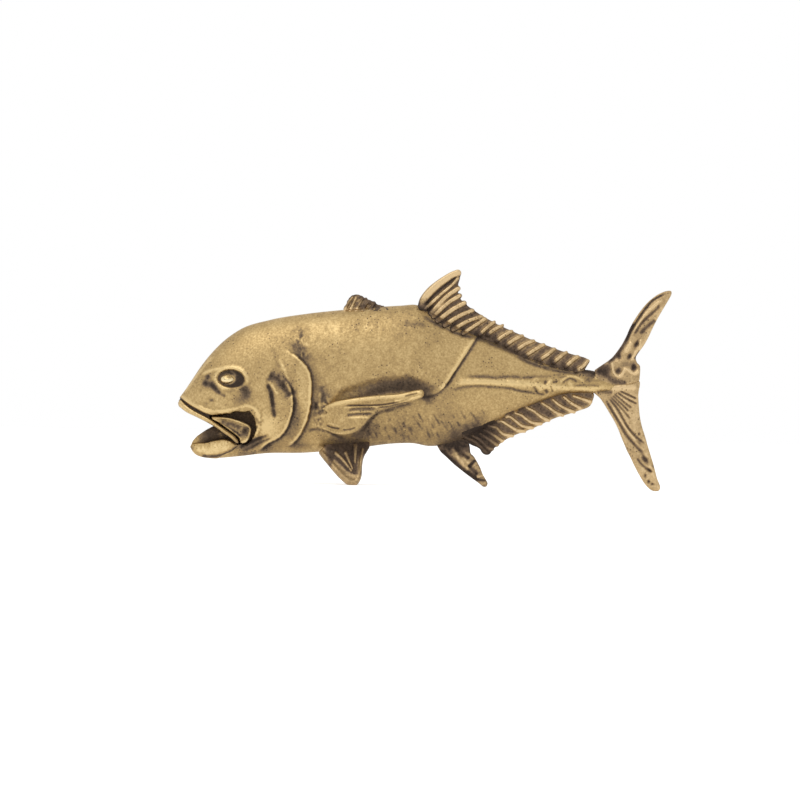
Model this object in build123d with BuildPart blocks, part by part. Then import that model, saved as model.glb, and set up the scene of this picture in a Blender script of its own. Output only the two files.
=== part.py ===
from build123d import *

import os
from math import atan2, cos, hypot, radians, sin

# A standing brass fish with its head towards -X. It rests on the tips of its two pelvic fins, on the anal
# lobe and on the lower tip of the tail. X runs along the fish, Y across it and Z up, and the origin is on
# the ground under the middle of the fish. Millimetres.

# Driving sizes of the whole fish
overall_length = 82.0
overall_height = 36.4
body_width = 11.2

# Fit between the castings, which are pinned by tangs in slots and then soldered
joint_clearance = 0.05
cut_overrun = 4.0

# Relief of the trunk
cover_step = 0.45
crown_step = 0.12
cheek_step = 0.3
groove_width = 0.5
groove_depth = 0.35
line_height = 0.3
line_width = 1.3
scute_height = 0.55
scute_length = 1.1
scute_count = 7

# Mouth
web_width = 3.0
trough_width = 3.4
maxilla_pit_diameter = 0.9

# Eyes and nostrils
eye_length = 2.6
eye_height = 1.7
eye_depth = 1.1
eye_proud = 0.35
eye_round = 0.5
ring_width = 0.9
ring_depth = 0.3
nostril_diameter = 0.6

# Median fins
fin_root_thickness = 1.3
fin_edge_thickness = 0.4
fin_reach = 12.0
fin_ray_height = 0.22
fin_ray_width = 0.8
fin_tip_width = 0.45
fin_tang = 1.4
fin_notch = 0.7

# Tail
tail_root_thickness = 1.2
tail_edge_thickness = 0.7
tail_reach = 18.0
tail_ray_height = 0.2
tail_ray_width = 0.9

# Paired fins
pelvic_spread = 11.0
pelvic_thickness = 1.2
pelvic_ray_height = 0.25
pectoral_thickness = 0.9
pectoral_ray_height = 0.25
pectoral_gap = 0.15
pectoral_splay = 4.0


def side_point(shares):
    """A point of the side view, from its shares of the length and of the height."""
    return (overall_length * shares[0], overall_height * shares[1])


def side_points(table):
    """The points of an outline in the side view."""
    return [side_point(shares) for shares in table]


def shifted(points, along_x, up):
    """The same points, moved in the side view."""
    return [(x + along_x, z + up) for x, z in points]


def along(points, share):
    """The point that lies this share of the way along a broken line."""
    runs = [hypot(b[0] - a[0], b[1] - a[1]) for a, b in zip(points, points[1:])]
    left = share * sum(runs)
    for (x, z), (next_x, next_z), run in zip(points, points[1:], runs):
        if left <= run:
            return (x + (next_x - x) * left / run, z + (next_z - z) * left / run)
        left -= run
    return points[-1]


def taper(start, end, start_width, end_width):
    """Corners of a straight ray that narrows from one end to the other."""
    run = hypot(end[0] - start[0], end[1] - start[1])
    across = ((start[1] - end[1]) / run, (end[0] - start[0]) / run)
    corners = []
    for (x, z), width in ((start, start_width), (end, end_width)):
        half = (across[0] * width / 2, across[1] * width / 2)
        corners.append((x + half[0], z + half[1]))
        corners.append((x - half[0], z - half[1]))
    return [corners[0], corners[1], corners[3], corners[2]]


def plate(points, half_width, mode=Mode.ADD):
    """A flat plate with this outline, as thick on each side of the middle plane."""
    with BuildSketch(Plane.XZ) as face:
        Polygon(*points, align=None)
    extrude(face.sketch, amount=half_width, both=True, mode=mode)


def inlay(points, clearance, near, far, side, mode=Mode.ADD):
    """A plate on one side of the fish, between two distances from the middle plane."""
    start = Plane.XZ.offset(-side * near)
    with BuildSketch(start) as face:
        Polygon(*points, align=None)
        if clearance > 0:
            offset(amount=clearance, kind=Kind.INTERSECTION)
    extrude(face.sketch, amount=-side * (far - near), mode=mode)


def body_loft(stations, wider, taller):
    """The fish's body, lofted through oval sections, each this much wider and taller."""
    with BuildPart() as body:
        for x_share, top_share, bottom_share, width_share in stations:
            x, top = side_point((x_share, top_share))
            bottom = overall_height * bottom_share
            section = Plane(origin=(x, 0, (top + bottom) / 2), x_dir=(0, 1, 0), z_dir=(1, 0, 0))
            with BuildSketch(section):
                Ellipse(body_width * width_share + wider, (top - bottom) / 2 + taller)
        loft()
    return body.part


def wedge(root, reach, up, thickness, edge_thickness):
    """A bar along a fin's root that thins towards the fin's edge, to cut the fin's two faces."""
    (x, z), (end_x, end_z) = root
    run = hypot(end_x - x, end_z - z)
    heading = ((end_x - x) / run, (end_z - z) / run)
    start = (x - heading[0] * reach, 0, z - heading[1] * reach)
    profile = Plane(origin=start, x_dir=(0, 1, 0), z_dir=(heading[0], 0, heading[1]))
    half, edge = thickness / 2, edge_thickness / 2
    with BuildPart() as bar:
        with BuildSketch(profile):
            Polygon(
                (-half, -up * reach),
                (half, -up * reach),
                (half, 0),
                (edge, up * reach),
                (-edge, up * reach),
                (-half, 0),
                align=None,
            )
        extrude(amount=run + 2 * reach)
    return bar.part


def scalloped(edge, ray_count, notch, up):
    """The free edge of a fin, drawn in between its rays."""
    points = []
    for ray in range(ray_count):
        points.append(along(edge, ray / (ray_count - 1)))
        if ray < ray_count - 1:
            x, z = along(edge, (ray + 1 / 2) / (ray_count - 1))
            points.append((x, z - up * notch))
    return points


# Body sections, each as shares: place along the fish, top and bottom of the height, half width of the width
station_shares = [
    (-0.500, 0.374, 0.335, 0.062), (-0.488, 0.411, 0.258, 0.156), (-0.473, 0.462, 0.157, 0.223),
    (-0.454, 0.530, 0.118, 0.286), (-0.421, 0.621, 0.109, 0.357), (-0.378, 0.698, 0.117, 0.415),
    (-0.317, 0.745, 0.135, 0.460), (-0.244, 0.776, 0.140, 0.491), (-0.146, 0.802, 0.162, 0.500),
    (-0.049, 0.821, 0.192, 0.487), (0.012, 0.794, 0.187, 0.455), (0.073, 0.725, 0.214, 0.397),
    (0.146, 0.662, 0.299, 0.317), (0.220, 0.596, 0.379, 0.237), (0.293, 0.552, 0.437, 0.161),
    (0.341, 0.547, 0.444, 0.125), (0.388, 0.508, 0.449, 0.103),
]
flank_shares = [(-0.390, -0.165), (0.732, -0.165), (0.732, 1.648), (-0.390, 1.648)]

# The gill cover's free edge, from the nape round to the throat, and the head in front of it
gill_edge_shares = [
    (-0.276, 0.610), (-0.250, 0.566), (-0.230, 0.527), (-0.227, 0.467), (-0.227, 0.398), (-0.230, 0.319),
    (-0.243, 0.255), (-0.251, 0.203), (-0.267, 0.173),
]
head_front_shares = [(-0.287, 0.082), (-0.512, 0.082), (-0.512, 0.852), (-0.317, 0.852)]
cheek_edge_shares = [
    (-0.320, 0.673), (-0.295, 0.536), (-0.276, 0.445), (-0.265, 0.385), (-0.265, 0.316), (-0.273, 0.247),
    (-0.293, 0.209), (-0.317, 0.184),
]
cheek_front_shares = [
    (-0.360, 0.190), (-0.365, 0.343), (-0.335, 0.412), (-0.341, 0.536), (-0.366, 0.687),
]

# Lines cut into the trunk
cheek_groove_shares = [(-0.312, 0.426), (-0.307, 0.371), (-0.304, 0.316), (-0.301, 0.280)]
side_groove_shares = [
    (0.112, 0.725), (0.090, 0.626), (0.065, 0.538), (0.046, 0.473), (0.024, 0.426), (0.002, 0.409),
]
under_eye_shares = [(-0.429, 0.434), (-0.417, 0.404), (-0.401, 0.385)]
brow_shares = [(-0.441, 0.497), (-0.417, 0.519), (-0.388, 0.525), (-0.368, 0.508)]
throat_groove_shares = [(-0.337, 0.154), (-0.317, 0.176), (-0.295, 0.201)]

# Lateral line: a raised band from mid flank to the tail, with keeled scutes on its last part
line_shares = [(0.067, 0.481), (0.146, 0.484), (0.220, 0.478), (0.293, 0.484), (0.372, 0.481)]
scute_start_share, scute_end_share = 0.225, 0.34
scute_level_share = 0.48

# Mouth, seen from the side
lip_top_shares = [
    (-0.500, 0.357), (-0.491, 0.376), (-0.483, 0.359), (-0.471, 0.339), (-0.456, 0.326), (-0.444, 0.312),
    (-0.429, 0.301),
]
lip_bottom_shares = [
    (-0.429, 0.257), (-0.439, 0.269), (-0.451, 0.283), (-0.463, 0.294), (-0.476, 0.302), (-0.488, 0.319),
    (-0.498, 0.338),
]
mouth_gap_shares = [(-0.429, 0.250), (-0.448, 0.225), (-0.468, 0.190), (-0.474, 0.110), (-0.512, 0.110)]
corner_recess_shares = [
    (-0.434, 0.291), (-0.405, 0.258), (-0.380, 0.228), (-0.372, 0.203), (-0.373, 0.179), (-0.380, 0.177),
    (-0.402, 0.199), (-0.427, 0.188), (-0.473, 0.170), (-0.473, 0.192), (-0.448, 0.236),
]
jaw_shares = [
    (-0.473, 0.157), (-0.468, 0.176), (-0.451, 0.174), (-0.439, 0.179), (-0.427, 0.187), (-0.415, 0.192),
    (-0.402, 0.198), (-0.390, 0.190), (-0.380, 0.176), (-0.371, 0.170), (-0.377, 0.137), (-0.385, 0.082),
    (-0.483, 0.082),
]
dentary_shares = [
    (-0.478, 0.146), (-0.468, 0.176), (-0.439, 0.179), (-0.415, 0.192), (-0.402, 0.198), (-0.390, 0.190),
    (-0.380, 0.173), (-0.395, 0.146), (-0.421, 0.129), (-0.451, 0.126),
]
trough_shares = [(-0.466, 0.220), (-0.459, 0.143), (-0.388, 0.143), (-0.383, 0.220)]
maxilla_shares = [
    (-0.427, 0.298), (-0.409, 0.293), (-0.378, 0.288), (-0.363, 0.275), (-0.351, 0.261), (-0.347, 0.245),
    (-0.349, 0.220), (-0.352, 0.198), (-0.360, 0.185), (-0.367, 0.181), (-0.371, 0.192), (-0.373, 0.214),
    (-0.380, 0.225), (-0.393, 0.242), (-0.417, 0.272), (-0.427, 0.286),
]
cheek_hollow_shares = [
    (-0.429, 0.283), (-0.428, 0.313), (-0.390, 0.310), (-0.366, 0.323), (-0.352, 0.324), (-0.345, 0.305),
    (-0.338, 0.280), (-0.335, 0.253), (-0.340, 0.220), (-0.348, 0.187), (-0.357, 0.170), (-0.373, 0.173),
]
maxilla_pit_shares = (-0.361, 0.236)
maxilla_seat_share = 0.22

# Eye and nostrils, seen from the side
eye_place_shares = (-0.399, 0.467)
eye_face_share = 0.37
nostril_places_shares = [(-0.437, 0.478), (-0.449, 0.445)]
nostril_face_share = 0.25

inner_head = body_loft(station_shares, -groove_depth, -groove_depth)
plain_body = body_loft(station_shares, 0, 0)
head_skin = body_loft(station_shares, cover_step, crown_step)
cheek_skin = body_loft(station_shares, cover_step + cheek_step, crown_step + crown_step)
line_skin = body_loft(station_shares, line_height, 0)
scute_skin = body_loft(station_shares, scute_height, 0)
cut_width = body_width + cut_overrun

# Gill covers, and the cheek plate that lies over them
with BuildPart() as gill_covers:
    add(head_skin)
    plate(side_points(gill_edge_shares + head_front_shares), cut_width, Mode.INTERSECT)

with BuildPart() as cheek_plates:
    add(cheek_skin)
    plate(side_points(cheek_edge_shares + cheek_front_shares), cut_width, Mode.INTERSECT)

# The raised band of the lateral line
line_points = side_points(line_shares)
with BuildPart() as lateral_line:
    with BuildSketch(Plane.XZ):
        with BuildLine():
            Spline(*line_points)
        trace(line_width=line_width)
    extrude(amount=cut_width, both=True)
    add(line_skin, mode=Mode.INTERSECT)

# Keeled scutes along the last part of that band
scute_step = overall_length * (scute_end_share - scute_start_share) / (scute_count - 1)
with BuildPart() as scutes:
    for number in range(scute_count):
        front, level = side_point((scute_start_share, scute_level_share))
        front += number * scute_step
        keel = taper((front, level), (front + scute_length, level), line_width, 0)
        plate([keel[0], keel[1], keel[2]], cut_width)
    add(scute_skin, mode=Mode.INTERSECT)

# Grooves that follow the body at one depth
line_tables = [
    cheek_groove_shares, side_groove_shares, under_eye_shares, brow_shares, throat_groove_shares,
]
with BuildPart() as surface_lines:
    for table in line_tables:
        with BuildSketch(Plane.XZ):
            with BuildLine():
                Spline(*side_points(table))
            trace(line_width=groove_width)
        extrude(amount=cut_width, both=True)
    add(inner_head, mode=Mode.SUBTRACT)

# Median fins: where each meets the body, and its free edge
dorsal_root_shares = [
    (-0.021, 0.786), (0.006, 0.777), (0.037, 0.742), (0.077, 0.703), (0.122, 0.676), (0.177, 0.629),
    (0.244, 0.571), (0.293, 0.541), (0.329, 0.533),
]
dorsal_lobe_shares = [(-0.021, 0.832), (-0.011, 0.876), (0.018, 0.937), (0.037, 0.967), (0.052, 0.989)]
dorsal_tip_shares = [
    (0.063, 1.000), (0.072, 0.995), (0.073, 0.975), (0.070, 0.948), (0.068, 0.907), (0.072, 0.874),
    (0.080, 0.849),
]
dorsal_edge_shares = [
    (0.093, 0.830), (0.140, 0.766), (0.195, 0.706), (0.250, 0.665), (0.305, 0.626), (0.338, 0.591),
]
dorsal_heel_shares = [(0.329, 0.563)]
dorsal_ray_roots_shares = [
    (0.048, 0.731), (0.098, 0.692), (0.159, 0.646), (0.220, 0.593), (0.300, 0.541),
]
lobe_rays_shares = [
    [(-0.011, 0.832), (0.056, 0.978)],
    [(-0.007, 0.808), (0.065, 0.940)],
    [(0.007, 0.791), (0.066, 0.896)],
    [(0.027, 0.766), (0.076, 0.849)],
]
dorsal_ray_count = 14

anal_root_shares = [
    (0.096, 0.245), (0.122, 0.283), (0.140, 0.308), (0.174, 0.346), (0.217, 0.385), (0.262, 0.418),
    (0.296, 0.437), (0.341, 0.448),
]
anal_front_shares = [(0.096, 0.173), (0.107, 0.176), (0.118, 0.165)]
anal_edge_shares = [
    (0.128, 0.148), (0.149, 0.190), (0.185, 0.245), (0.226, 0.283), (0.268, 0.327), (0.305, 0.352),
    (0.341, 0.401),
]
anal_ray_roots_shares = [(0.104, 0.253), (0.146, 0.313), (0.207, 0.376), (0.256, 0.412), (0.312, 0.440)]
anal_ray_count = 12

lobe_root_shares = [(0.035, 0.190), (0.063, 0.206), (0.093, 0.234)]
lobe_edge_shares = [
    (0.094, 0.168), (0.105, 0.140), (0.113, 0.107), (0.118, 0.088), (0.123, 0.060), (0.132, 0.038),
    (0.134, 0.016), (0.133, -0.027), (0.110, -0.027), (0.110, 0.026), (0.085, 0.063), (0.061, 0.113),
    (0.049, 0.137), (0.035, 0.159),
]
anal_lobe_rays_shares = [
    [(0.049, 0.170), (0.117, 0.016)],
    [(0.068, 0.181), (0.126, 0.033)],
    [(0.084, 0.190), (0.110, 0.110)],
]

first_root_shares = [(-0.166, 0.786), (-0.122, 0.797), (-0.078, 0.808)]
first_edge_shares = [
    (-0.150, 0.863), (-0.133, 0.868), (-0.113, 0.852), (-0.099, 0.841), (-0.080, 0.824),
]
first_ray_roots_shares = [(-0.160, 0.799), (-0.090, 0.810)]
first_spine_count = 5

# Tail: the seam between the lobes, and the rest of each outline
tail_seam_shares = [(0.346, 0.503), (0.378, 0.508), (0.402, 0.500), (0.420, 0.492), (0.438, 0.495)]
tail_upper_shares = [
    (0.437, 0.547), (0.435, 0.574), (0.429, 0.582), (0.424, 0.599), (0.433, 0.626), (0.454, 0.701),
    (0.476, 0.805), (0.496, 0.887), (0.500, 0.909), (0.495, 0.923), (0.488, 0.920), (0.463, 0.893),
    (0.439, 0.835), (0.415, 0.745), (0.400, 0.668), (0.380, 0.607), (0.360, 0.574), (0.346, 0.549),
]
tail_lower_shares = [
    (0.438, 0.440), (0.439, 0.357), (0.444, 0.302), (0.460, 0.192), (0.478, 0.060), (0.484, 0.025),
    (0.483, -0.027), (0.465, -0.027), (0.463, 0.011), (0.456, 0.025), (0.433, 0.104), (0.415, 0.181),
    (0.396, 0.283), (0.378, 0.354), (0.357, 0.426), (0.346, 0.442),
]
tail_upper_root_shares = [(0.348, 0.604), (0.432, 0.462)]
tail_lower_root_shares = [(0.345, 0.398), (0.439, 0.500)]
upper_ray_roots_shares = [(0.361, 0.560), (0.422, 0.533)]
upper_ray_tips_shares = [(0.490, 0.912), (0.473, 0.808), (0.451, 0.709), (0.429, 0.626)]
lower_ray_roots_shares = [(0.361, 0.445), (0.409, 0.473)]
lower_ray_tips_shares = [
    (0.466, 0.022), (0.471, 0.093), (0.454, 0.214), (0.439, 0.302), (0.434, 0.379), (0.434, 0.456),
]
upper_ray_count = 5
lower_ray_count = 7

# Paired fins
pelvic_shares = [
    (-0.210, 0.137), (-0.195, 0.099), (-0.183, 0.071), (-0.171, 0.030), (-0.161, 0.011),
    (-0.159, -0.027), (-0.132, -0.027), (-0.132, 0.011), (-0.123, 0.055), (-0.121, 0.110),
    (-0.115, 0.154), (-0.117, 0.236), (-0.188, 0.236), (-0.193, 0.176),
]
pelvic_rays_shares = [
    [(-0.183, 0.154), (-0.157, 0.008)],
    [(-0.166, 0.162), (-0.149, 0.005)],
    [(-0.148, 0.165), (-0.140, 0.005)],
    [(-0.127, 0.168), (-0.127, 0.033)],
]
pelvic_root_level_share = 0.19
pelvic_root_share = 0.15

pectoral_root_x_share = -0.2
pectoral_shares = [
    (-0.207, 0.250), (-0.205, 0.354), (-0.189, 0.371), (-0.146, 0.393), (-0.098, 0.412), (-0.049, 0.420),
    (-0.030, 0.434), (-0.012, 0.442), (0, 0.426), (-0.018, 0.390), (-0.055, 0.363), (-0.085, 0.330),
    (-0.118, 0.280), (-0.144, 0.242), (-0.171, 0.228), (-0.193, 0.245),
]
pectoral_rays_shares = [
    [(-0.198, 0.349), (-0.009, 0.431)],
    [(-0.180, 0.335), (-0.027, 0.390)],
    [(-0.178, 0.313), (-0.059, 0.365)],
    [(-0.178, 0.294), (-0.089, 0.332)],
    [(-0.180, 0.277), (-0.120, 0.286)],
    [(-0.185, 0.261), (-0.150, 0.247)],
]
pectoral_stub_shares = [
    (-0.206, 0.258), (-0.204, 0.349), (-0.183, 0.363), (-0.167, 0.341), (-0.166, 0.253), (-0.185, 0.245),
]
pectoral_seat_share = 0.3

dorsal_root, anal_root = side_points(dorsal_root_shares), side_points(anal_root_shares)
lobe_root, first_root = side_points(lobe_root_shares), side_points(first_root_shares)
tail_seam = side_points(tail_seam_shares)
pelvic_outline, stub_outline = side_points(pelvic_shares), side_points(pectoral_stub_shares)

# Each pelvic fin leans out from its root in the belly to its foot on the ground
pelvic_root_level = overall_height * pelvic_root_level_share
pelvic_lean = atan2(pelvic_spread / 2 - body_width * pelvic_root_share, pelvic_root_level)


def slot_outline(root, up):
    """The slot in the trunk for a fin's tang, open to the outside."""
    sunk = shifted(root, 0, -up * (fin_tang + joint_clearance))
    clear = shifted(root, 0, up * cut_overrun)
    (first_x, first_z), (last_x, last_z) = sunk[0], sunk[-1]
    sunk[0], sunk[-1] = (first_x - joint_clearance, first_z), (last_x + joint_clearance, last_z)
    (first_x, first_z), (last_x, last_z) = clear[0], clear[-1]
    clear[0], clear[-1] = (first_x - joint_clearance, first_z), (last_x + joint_clearance, last_z)
    return sunk + clear[::-1]


def pelvic_plane(side):
    """The plane of a pelvic fin, which leans outwards to the ground."""
    inward = (0, -side * sin(pelvic_lean), cos(pelvic_lean))
    normal = (0, -inward[2], inward[1])
    return Plane(origin=(0, side * pelvic_spread / 2, 0), x_dir=(1, 0, 0), z_dir=normal)


def pelvic_points(points):
    """Points of the side view, laid into the leaning plane."""
    return [(x, z / cos(pelvic_lean)) for x, z in points]


pelvic_half = pelvic_thickness / 2 + pelvic_ray_height
eye_x, eye_z = side_point(eye_place_shares)
eye_seat = body_width * eye_face_share - eye_depth
jaw_outline = side_points(jaw_shares)
maxilla_seat = body_width * maxilla_seat_share
pectoral_seat = body_width * pectoral_seat_share

# Everything that is cut from the trunk: the open mouth, the hollows of the head and the seats of the pieces
tail_front = tail_seam[0][0] - joint_clearance
tail_slot = [
    (tail_front, tail_seam[0][1] - cut_overrun),
    (tail_front, tail_seam[0][1] + cut_overrun),
    (tail_seam[-1][0], tail_seam[0][1] + cut_overrun),
    (tail_seam[-1][0], tail_seam[0][1] - cut_overrun),
]
with BuildPart() as openings:
    # Gap of the mouth, and the recess behind it on each side of a web
    plate(side_points(lip_top_shares + mouth_gap_shares), cut_width)
    for side in (-1, 1):
        inlay(side_points(corner_recess_shares), 0, web_width / 2, cut_width, side)
        inlay(side_points(cheek_hollow_shares), 0, maxilla_seat, cut_width, side)
    # Seat of the jaw
    with BuildSketch(Plane.XZ) as jaw_face:
        Polygon(*jaw_outline, align=None)
        offset(amount=joint_clearance, kind=Kind.INTERSECTION)
    extrude(jaw_face.sketch, amount=cut_width, both=True)
    # Slots for the tangs of the fins
    slot_half = fin_root_thickness / 2 + fin_ray_height + joint_clearance
    plate(slot_outline(dorsal_root, 1), slot_half)
    plate(slot_outline(first_root, 1), slot_half)
    plate(slot_outline(anal_root, -1), slot_half)
    plate(slot_outline(lobe_root, -1), slot_half)
    plate(tail_slot, tail_root_thickness / 2 + joint_clearance)
    for side in (-1, 1):
        # Sockets of the eyes, each a bored seat in a shallow ring
        ring_floor = side * (body_width * eye_face_share - ring_depth)
        with BuildSketch(Plane.XZ.offset(-ring_floor).shift_origin((eye_x, ring_floor, eye_z))) as ring:
            Ellipse(eye_length / 2 + ring_width, eye_height / 2 + ring_width / 2)
        extrude(ring.sketch, amount=-side * cut_width)
        bored = side * (eye_seat - joint_clearance)
        with BuildSketch(Plane.XZ.offset(-bored).shift_origin((eye_x, bored, eye_z))) as bore:
            Ellipse(eye_length / 2 + joint_clearance, eye_height / 2 + joint_clearance)
        extrude(bore.sketch, amount=-side * cut_width)
        # Nostrils
        nostril_floor = side * body_width * nostril_face_share
        for shares in nostril_places_shares:
            x, z = side_point(shares)
            with BuildSketch(Plane.XZ.offset(-nostril_floor).shift_origin((x, nostril_floor, z))) as pit:
                Circle(nostril_diameter / 2)
            extrude(pit.sketch, amount=-side * cut_width)
        # Sockets of the paired fins
        with BuildSketch(pelvic_plane(side)) as pelvic_slot:
            Polygon(*pelvic_points(pelvic_outline), align=None)
            offset(amount=joint_clearance, kind=Kind.INTERSECTION)
        extrude(pelvic_slot.sketch, amount=pelvic_half + joint_clearance, both=True)
        inlay(stub_outline, joint_clearance, pectoral_seat - joint_clearance, cut_width, side)

# Trunk: head, body and tail stalk in one casting
with BuildPart() as trunk:
    add(plain_body)
    plate(side_points(flank_shares), cut_width, Mode.INTERSECT)
    add([gill_covers.part, cheek_plates.part, lateral_line.part, scutes.part])
    add([surface_lines.part, openings.part], mode=Mode.SUBTRACT)
trunk.part.label = "trunk"

# Lower jaw, with a raised plate along each side and a trough for the mouth's floor
with BuildPart() as jaw_plates:
    add(cheek_skin)
    plate(side_points(dentary_shares), cut_width, Mode.INTERSECT)
    plate(jaw_outline, cut_width, Mode.INTERSECT)

with BuildPart() as lower_jaw:
    add(head_skin)
    plate(jaw_outline, cut_width, Mode.INTERSECT)
    add(jaw_plates.part)
    plate(side_points(trough_shares), trough_width / 2, Mode.SUBTRACT)
lower_jaw.part.label = "lower_jaw"

# Upper lip, a bar bent round the front of the snout
lip_top, lip_bottom = side_points(lip_top_shares), side_points(lip_bottom_shares)
with BuildPart() as upper_lip:
    add(head_skin)
    lip_outline = shifted(lip_top + lip_bottom, -joint_clearance, -joint_clearance)
    plate(lip_outline, cut_width, Mode.INTERSECT)
upper_lip.part.label = "upper_lip"


# Maxilla, the paddle at the corner of the mouth, with a pit in the face of its wide end
pit_x, pit_z = side_point(maxilla_pit_shares)
with BuildPart() as maxilla_pits:
    with BuildSketch(Plane.XZ.shift_origin((pit_x, 0, pit_z))):
        Circle(maxilla_pit_diameter / 2)
    extrude(amount=cut_width, both=True)
    add(plain_body, mode=Mode.SUBTRACT)


def maxilla_plate(side):
    """One maxilla on its seat in the cheek's hollow, following the head's skin."""
    near = maxilla_seat + joint_clearance
    add(head_skin)
    inlay(side_points(maxilla_shares), 0, near, cut_width, side, Mode.INTERSECT)
    add(maxilla_pits.part, mode=Mode.SUBTRACT)


with BuildPart() as maxilla_left:
    maxilla_plate(-1)
maxilla_left.part.label = "maxilla_left"

with BuildPart() as maxilla_right:
    maxilla_plate(1)
maxilla_right.part.label = "maxilla_right"


# Eyes, domed beads pressed into their sockets
def eye_bead(side):
    """One bead, seated on its socket's floor."""
    floor = side * eye_seat
    with BuildSketch(Plane.XZ.offset(-floor).shift_origin((eye_x, floor, eye_z))) as bead:
        Ellipse(eye_length / 2, eye_height / 2)
    extrude(bead.sketch, amount=-side * (eye_depth + eye_proud))


with BuildPart() as eye_left:
    eye_bead(-1)
    fillet(eye_left.faces().sort_by(Axis.Y)[0].edges(), eye_round)
eye_left.part.label = "eye_left"

with BuildPart() as eye_right:
    eye_bead(1)
    fillet(eye_right.faces().sort_by(Axis.Y)[-1].edges(), eye_round)
eye_right.part.label = "eye_right"


# Median fins
def tang_line(root, up):
    """The buried edge of a fin, from its back to its front."""
    return shifted(root, 0, -up * fin_tang)[::-1]


def fin_web(outline, root, up, thickness, edge_thickness, reach):
    """The thin skin of a fin, thinner towards its free edge."""
    bar = wedge((root[0], root[-1]), reach, up, thickness, edge_thickness)
    with BuildPart() as web:
        plate(outline, thickness)
        add(bar, mode=Mode.INTERSECT)
    return web.part


def fin_rays(rays, root, up, thickness, edge_thickness, reach, widths):
    """The rays of a fin, which stand out on both faces of its skin."""
    bar = wedge((root[0], root[-1]), reach, up, thickness, edge_thickness)
    with BuildPart() as spines:
        for start, end in rays:
            plate(taper(start, end, *widths), thickness)
        add(bar, mode=Mode.INTERSECT)
    return spines.part


def evenly(roots, tips, count):
    """Rays from one line to another, evenly spaced along both."""
    shares = [ray / (count - 1) for ray in range(count)]
    return [(along(roots, share), along(tips, share)) for share in shares]


ray_widths = (fin_ray_width, fin_tip_width)
web_sizes = (fin_root_thickness, fin_edge_thickness, fin_reach)
ray_sizes = (fin_root_thickness + 2 * fin_ray_height, fin_edge_thickness + 2 * fin_ray_height, fin_reach)

dorsal_edge = side_points(dorsal_edge_shares)
dorsal_outline = (
    side_points(dorsal_lobe_shares + dorsal_tip_shares)
    + scalloped(dorsal_edge, dorsal_ray_count, fin_notch, 1)
    + side_points(dorsal_heel_shares)
    + [dorsal_root[-1]]
    + tang_line(dorsal_root, 1)
)
dorsal_rays = evenly(side_points(dorsal_ray_roots_shares), dorsal_edge, dorsal_ray_count)
dorsal_rays += [side_points(ray) for ray in lobe_rays_shares]
dorsal_web = fin_web(dorsal_outline, dorsal_root, 1, *web_sizes)
dorsal_spines = fin_rays(dorsal_rays, dorsal_root, 1, *ray_sizes, ray_widths)
with BuildPart() as second_dorsal_fin:
    add([dorsal_web, dorsal_spines])
second_dorsal_fin.part.label = "second_dorsal_fin"

first_edge = side_points(first_edge_shares)
first_outline = [first_root[0]] + scalloped(first_edge, first_spine_count, fin_notch, 1) + [first_root[-1]]
first_outline += tang_line(first_root, 1)
first_rays = evenly(side_points(first_ray_roots_shares), first_edge, first_spine_count)
first_web = fin_web(first_outline, first_root, 1, *web_sizes)
first_spines = fin_rays(first_rays, first_root, 1, *ray_sizes, ray_widths)
with BuildPart() as first_dorsal_fin:
    add([first_web, first_spines])
first_dorsal_fin.part.label = "first_dorsal_fin"

anal_edge = side_points(anal_edge_shares)
anal_outline = (
    side_points(anal_front_shares)
    + scalloped(anal_edge, anal_ray_count, fin_notch, -1)
    + [anal_root[-1]]
    + tang_line(anal_root, -1)
)
anal_rays = evenly(side_points(anal_ray_roots_shares), anal_edge, anal_ray_count)
anal_web = fin_web(anal_outline, anal_root, -1, *web_sizes)
anal_spines = fin_rays(anal_rays, anal_root, -1, *ray_sizes, ray_widths)
with BuildPart() as anal_fin:
    add([anal_web, anal_spines])
anal_fin.part.label = "anal_fin"

# Anal lobe, filed flat where it meets the ground
lobe_outline = tang_line(lobe_root, -1)[::-1] + side_points(lobe_edge_shares)
lobe_rays = [side_points(ray) for ray in anal_lobe_rays_shares]
lobe_web = fin_web(lobe_outline, lobe_root, -1, *web_sizes)
lobe_spines = fin_rays(lobe_rays, lobe_root, -1, *ray_sizes, ray_widths)
with BuildPart() as anal_lobe:
    add([lobe_web, lobe_spines])
    split(bisect_by=Plane.XY, keep=Keep.TOP)
anal_lobe.part.label = "anal_lobe"

# Tail blades, which meet at a seam and are gripped by the forked end of the tail stalk
tail_widths = (tail_ray_width, fin_tip_width)
tail_web_sizes = (tail_root_thickness, tail_edge_thickness, tail_reach)
tail_ray_sizes = (tail_root_thickness, tail_edge_thickness + 2 * tail_ray_height, tail_reach)
upper_root, lower_root = side_points(tail_upper_root_shares), side_points(tail_lower_root_shares)
upper_outline = shifted(tail_seam, 0, joint_clearance / 2) + side_points(tail_upper_shares)
lower_outline = shifted(tail_seam, 0, -joint_clearance / 2) + side_points(tail_lower_shares)
upper_tips, lower_tips = side_points(upper_ray_tips_shares), side_points(lower_ray_tips_shares)
upper_rays = evenly(side_points(upper_ray_roots_shares), upper_tips, upper_ray_count)
lower_rays = evenly(side_points(lower_ray_roots_shares), lower_tips, lower_ray_count)

upper_web = fin_web(upper_outline, upper_root, 1, *tail_web_sizes)
upper_spines = fin_rays(upper_rays, upper_root, 1, *tail_ray_sizes, tail_widths)
with BuildPart() as tail_upper_lobe:
    add([upper_web, upper_spines])
tail_upper_lobe.part.label = "tail_upper_lobe"

lower_web = fin_web(lower_outline, lower_root, -1, *tail_web_sizes)
lower_spines = fin_rays(lower_rays, lower_root, -1, *tail_ray_sizes, tail_widths)
with BuildPart() as tail_lower_lobe:
    add([lower_web, lower_spines])
    split(bisect_by=Plane.XY, keep=Keep.TOP)
tail_lower_lobe.part.label = "tail_lower_lobe"


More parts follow.
